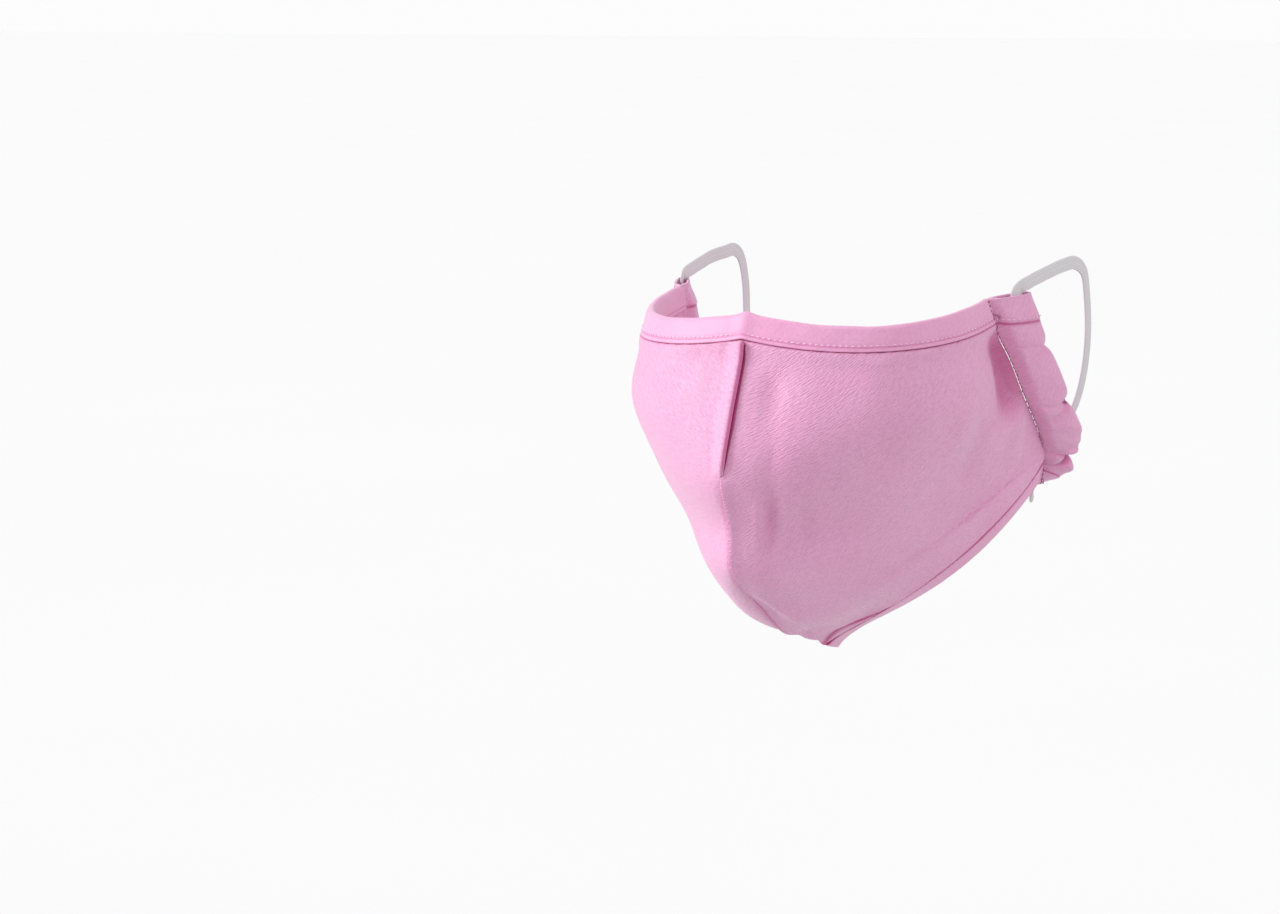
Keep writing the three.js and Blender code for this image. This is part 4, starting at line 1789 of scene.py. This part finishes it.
    def piece(self) -> ClothPiece:
        """The casing as one open-ended tube.

        Returns:
            The piece, ready to make.
        """
        down = np.linspace(0.0, 1.0, self.rings)
        stitch, outwards, normal, width, gathered = self.frame(down)
        from_end = self.from_mouth(down)
        angle = 2 * math.pi * np.arange(self.around) / self.around
        share = (1 - np.cos(angle)) / 2
        face = fuller(np.sin(angle), self.fullness)
        beside = share[None, :] * width[:, None]
        puff = self.puff * np.clip(1 - gathered, 0, 1) * smooth(from_end / BINDING_WIDTH)
        band = self.band * smooth((self.hem - from_end) / self.hem_slope)
        full = self.half_height(beside, puff[:, None]) + band[:, None]
        hollow = np.maximum(full - CASING_WALL, self.least_room)
        relief, painted_shade = self.relief(down, share, from_end)
        relief = np.where(face > 0, relief, self.behind * relief)
        outer_height = face * full + relief - self.seam_pinch.at(beside) * np.sign(face)
        inner_height = face * hollow + relief * self.inner_relief
        outer_reach = self.start + share[None, :] * (width[:, None] - self.start)
        inner_width = width[:, None] - CASING_WALL - self.sewn
        inner_reach = self.sewn + share[None, :] * inner_width
        outer, inner = (
            stitch[:, None] + outwards[:, None] * reach[..., None]
            + normal[:, None] * (height - CLOTH / 2)[..., None]
            for reach, height in ((outer_reach, outer_height), (inner_reach, inner_height))
        )
        points, faces = tube_solid(outer, inner)
        run = np.broadcast_to((down * self.length())[:, None], beside.shape)
        uv = np.stack([self.pattern_start + outer_reach, run], axis=-1).reshape(-1, 2)
        beyond_hem = from_end - self.hem - self.hem_shade_beyond
        painted_shade += self.seam_shade.at(outer_reach) + self.hem_shade.at(beyond_hem)[:, None]
        return ClothPiece(
            f"side_casing_{self.side.word}_cloth", points, faces,
            np.vstack([uv, uv]), np.tile(painted_shade.reshape(-1), 2),
        )

    def stitch_path(self) -> np.ndarray:
        """The line of the side stitches, in the groove between the panel and the casing.

        Returns:
            Points down the side of the mask.
        """
        down = np.linspace(self.stitch_end, 1 - self.stitch_end, self.stitch_points)
        stitch, outwards, normal, _, _ = self.frame(down)
        swing = np.sin(math.pi * down * self.length() / self.stitch_pitch) - 1
        on_binding = smooth((BINDING_WIDTH - self.from_mouth(down)) / self.stitch_step_length)
        off = self.stitch_off + self.stitch_step * on_binding
        return stitch + outwards * (self.stitch_swing * swing)[:, None] + normal * off[:, None]

    def hem_path(self) -> np.ndarray:
        """The stitches across the upper mouth's hem, on the outer side.

        Returns:
            Points across the casing.
        """
        down = np.full(self.hem_stitch_points, self.hem_stitch_at * self.hem / self.length())
        stitch, outwards, normal, width, _ = self.frame(down)
        share = np.linspace(self.hem_stitch_end, 1 - self.hem_stitch_end, self.hem_stitch_points)
        face = fuller(np.sin(np.arccos(1 - 2 * share)), self.fullness)
        puff = self.puff * smooth(self.hem_stitch_puff)
        full = self.half_height(share * width, puff) + self.band
        off = face * full - CLOTH / 2 + self.hem_stitch_off
        return stitch + outwards * (share * width)[:, None] + normal * off[:, None]

    def loose_path(self, end: ThreadEnd) -> np.ndarray:
        """A short loose end of the side thread.

        Args:
            end: Which one.

        Returns:
            Points along the thread.
        """
        stitch, outwards, normal, _, _ = self.frame(np.array([end.down]))
        share = np.linspace(0, 1, self.loose_points)[:, None]
        rise = self.loose_rise + self.loose_arch * np.sin(math.pi * share)
        curl = self.loose_arch * np.sin(2 * math.pi * self.loose_turns * share)
        upright = np.array([0, 0, 1])
        return stitch[0] + outwards[0] * end.reach * share + normal[0] * rise + upright * curl

    def stitch_rows(self, finishes: Finishes) -> list[StitchRow]:
        """Every row of stitches on the casing.

        Args:
            finishes: The mask's materials.

        Returns:
            The rows, ready to make.
        """
        word = self.side.word
        rows = [
            StitchRow(
                f"side_stitches_{word}", self.stitch_path(), finishes.side_thread,
                pitch=self.stitch_pitch, length=0.0016, thickness=0.0005, sway=0.25,
            ),
            StitchRow(f"casing_hem_stitches_{word}", self.hem_path(), finishes.binding_thread),
        ]
        for end in THREAD_ENDS:
            rows.append(
                StitchRow(
                    f"{end.title}_thread_end_{word}", self.loose_path(end), finishes.side_thread,
                    pitch=0.0004, length=0.001, thickness=0.00034, sway=0.1,
                )
            )
        return rows

    def build(self, finishes: Finishes) -> bpy.types.Object:
        """Makes and dresses the casing and its stitches.

        Args:
            finishes: The mask's materials.

        Returns:
            The finished casing.
        """
        made = self.piece().make(finishes.panel)
        ride(made, "casing_cloth", f"side_casing_{self.side.word}")
        stitches = [row.make() for row in self.stitch_rows(finishes)]
        for piece in stitches:
            ride(piece, "casing_cloth")
        return made


@dataclass
class EarLoop:
    """A flat ribbed elastic, one closed loop through its casing and out behind it."""

    side: Side
    casing: Casing
    steps: int = 420
    around: int = 64
    in_casing: int = 9  # places that lead it through the casing
    upper_lead: float = 0.0006  # how far it goes straight on beyond each mouth
    lower_lead: float = 0.0028
    inset: float = 0.0019  # room between the casing's seam and the band
    mouth_shift: float = 0.008  # how far its pull moves it outwards at the upper mouth
    mouth_fade: int = 4
    ribs: int = 7
    rib_depth: float = 0.00013
    # share of painted shade in the grooves between the ribs
    rib_shade: float = 0.9
    edge_fullness: float = 0.75  # powers that make the section squarer
    face_fullness: float = 0.35

    def stop(self, down: float, lead: float) -> tuple[np.ndarray, np.ndarray]:
        """A place on the elastic inside its casing, or a little beyond a mouth.

        Args:
            down: Share down the casing.
            lead: Distance further along.

        Returns:
            The place and the direction that its flat side faces.
        """
        stitch, outwards, normal, _, _ = self.casing.frame(np.array([down]))
        ends = np.clip([down - self.casing.nudge, down + self.casing.nudge], 0, 1)
        line = FORM.column("side", ends)
        along = unit(line[1] - line[0]) * np.array([self.side.value, 1.0, 1.0])
        pulled = self.mouth_shift * (1 - down) ** self.mouth_fade
        beside = self.casing.sewn + ELASTIC_WIDTH / 2 + self.inset + pulled
        place = stitch[0] + outwards[0] * beside - normal[0] * CLOTH / 2 + along * lead
        return place, normal[0]

    def lines(self, share: np.ndarray) -> tuple[np.ndarray, np.ndarray]:
        """The middle line of the band, and the direction its flat side faces.

        Args:
            share: Places from 0 to 1 round the loop.

        Returns:
            Both, one row for each share.
        """
        inside = [self.stop(1 - (i + 0.5) / self.in_casing, 0.0) for i in range(self.in_casing)]
        sign = self.side.value
        outside = [
            (
                np.array([sign * x * HALF_WIDTH, DEPTH + back * LOOP_REACH, z * HEIGHT]),
                np.array([float(sign), 0.0, 0.0]),
            )
            for x, back, z in LOOP_STOPS
        ]
        lower, upper = self.stop(1.0, self.lower_lead), self.stop(0.0, -self.upper_lead)
        stops = [lower, *inside, upper, *outside]
        path = np.array([place for place, _ in stops])
        flats = np.array([flat for _, flat in stops])
        return closed_curve(path, share), closed_curve(flats, share)

    def piece(self) -> ClothPiece:
        """The band as one closed ribbed loop.

        Returns:
            The piece, ready to make.
        """
        share = np.arange(self.steps) / self.steps
        middle, flat = self.lines(share)
        ahead, behind = np.roll(middle, -1, axis=0), np.roll(middle, 1, axis=0)
        along = unit(ahead - behind)
        across = unit(np.cross(flat, along))
        out = unit(np.cross(across, along))
        angle = 2 * math.pi * np.arange(self.around) / self.around
        beside = fuller(np.cos(angle), self.edge_fullness)
        face = fuller(np.sin(angle), self.face_fullness)
        groove = 0.5 + 0.5 * np.cos(math.pi * self.ribs * (beside + 1))
        half = ELASTIC_THICKNESS / 2 - self.rib_depth * groove
        aside = beside * ELASTIC_WIDTH / 2
        points = middle[:, None] + across[:, None] * aside[None, :, None]
        points += out[:, None] * (face * half)[None, :, None]
        length = np.linalg.norm(ahead - middle, axis=-1)
        run = np.concatenate([[0.0], np.cumsum(length)[:-1]])
        uv = np.stack(np.broadcast_arrays(aside[None, :], run[:, None]), axis=-1).reshape(-1, 2)
        painted_shade = np.broadcast_to(groove * self.rib_shade, points.shape[:2]).reshape(-1)
        faces = ring_faces(self.steps, self.around, True)
        name = f"ear_loop_{self.side.word}_elastic"
        return ClothPiece(name, points.reshape(-1, 3), faces, uv, painted_shade)

    def build(self, finishes: Finishes) -> bpy.types.Object:
        """Makes and dresses the elastic.

        Args:
            finishes: The mask's materials.

        Returns:
            The finished band.
        """
        made = self.piece().make(finishes.elastic)
        ride(made, "elastic", f"ear_loop_{self.side.word}")
        return made


@dataclass(frozen=True)
class Sun:
    """A soft distant light.

    towards is the direction it shines in, by shares of the camera's right, up and forward, and
    softness is its spread in degrees.
    """

    name: str
    towards: Triple
    strength: float
    softness: float


@dataclass
class Studio:
    """Camera, light and floor."""

    turn: float = math.radians(27)
    rise: float = math.radians(8)
    distance: float = 1.3
    aside: float = 0.0401
    above: float = -0.0592
    lens: float = 95.7
    sensor: float = 36.0
    clip: Pair = (0.05, 200.0)
    picture: Pair = (1280.0, 914.0)
    centre: Pair = (855.0, 468.0)  # where the camera's axis meets the picture
    key: Sun = Sun("key", (0.9, -0.36, 0.14), 2.4, 35)
    fill: Sun = Sun("fill", (-0.85, -0.55, 0.35), 0.5, 60)
    surrounding: float = 0.6
    backdrop: float = 0.98
    floor_z: float = -0.36
    floor_size: float = 60.0

    def axes(self) -> tuple[Vector, Vector, Vector]:
        """The camera's directions.

        Returns:
            Its right, its up and its forward.
        """
        c, s = math.cos(self.turn), math.sin(self.turn)
        p, q = math.cos(self.rise), math.sin(self.rise)
        return Vector((c, s, 0)), Vector((-s * q, c * q, p)), Vector((-s * p, c * p, -q))

    def camera(self) -> None:
        """Sets up the camera at the photograph's angle."""
        right, up, forward = self.axes()
        data = bpy.data.cameras.new("camera")
        data.lens = self.lens
        data.sensor_width = self.sensor
        data.shift_x = (self.picture[0] / 2 - self.centre[0]) / self.picture[0]
        data.shift_y = (self.centre[1] - self.picture[1] / 2) / self.picture[0]
        data.clip_start, data.clip_end = self.clip
        camera = bpy.data.objects.new("camera", data)
        turn = Matrix((right, up, -forward)).transposed().to_4x4()
        place = right * self.aside + up * self.above - forward * self.distance
        camera.matrix_world = Matrix.Translation(place) @ turn
        bpy.context.scene.collection.objects.link(camera)
        bpy.context.scene.camera = camera

    def light(self, sun: Sun) -> None:
        """Adds one distant light.

        Args:
            sun: Its direction, strength and softness.
        """
        data = bpy.data.lights.new(sun.name, "SUN")
        data.energy = sun.strength
        data.angle = math.radians(sun.softness)
        light = bpy.data.objects.new(sun.name, data)
        right, up, forward = self.axes()
        aside, above, ahead = sun.towards
        towards = (right * aside + up * above + forward * ahead).normalized()
        light.rotation_euler = towards.to_track_quat("-Z", "Y").to_euler()
        bpy.context.scene.collection.objects.link(light)

    def world(self) -> None:
        """An even pale surrounding, which the camera sees as nearly white."""
        world = bpy.data.worlds.new("studio")
        world.use_nodes = True
        board = NodeBoard(world.node_tree)
        soft, seen = (
            board.put(board.add("ShaderNodeBackground"), Color=WHITE, Strength=strength)
            for strength in (self.surrounding, self.backdrop)
        )
        path, mix = board.add("ShaderNodeLightPath"), board.add("ShaderNodeMixShader")
        output = board.add("ShaderNodeOutputWorld")
        board.link(path.outputs["Is Camera Ray"], mix.inputs["Fac"])
        board.link(soft.outputs["Background"], mix.inputs[1])
        board.link(seen.outputs["Background"], mix.inputs[2])
        board.link(mix.outputs["Shader"], output.inputs["Surface"])
        bpy.context.scene.world = world
        bpy.context.scene.view_settings.view_transform = "Standard"

    def floor(self) -> None:
        """A plain pale floor, well below the mask that is held up."""
        half = self.floor_size / 2
        corners = [(-half, -half), (half, -half), (half, half), (-half, half)]
        mesh = bpy.data.meshes.new("floor")
        mesh.from_pydata([(x, y, self.floor_z) for x, y in corners], [], [(0, 1, 2, 3)])
        mesh.materials.append(FloorFinish().build())
        made = bpy.data.objects.new("floor", mesh)
        bpy.context.scene.collection.objects.link(made)
        made.visible_diffuse = False

    def build(self) -> None:
        """Sets up everything round the mask."""
        self.camera()
        self.light(self.key)
        self.light(self.fill)
        self.world()
        self.floor()


def main() -> None:
    """Builds the whole scene, piece by piece."""
    logging.basicConfig(level=logging.INFO, format="%(name)s: %(message)s")
    Studio().build()
    finishes = Finishes()
    made: list[bpy.types.Object] = []
    for edge in Edge:
        made.append(Binding(edge).build(finishes))
    for side in Side:
        made.append(Panel(side).build(finishes))
        casing = Casing(side)
        made.append(casing.build(finishes))
        made.append(EarLoop(side, casing).build(finishes))
    for piece in made:
        LOG.info("%s: %d points", piece.name, len(piece.data.vertices))


if __name__ == "__main__":
    main()
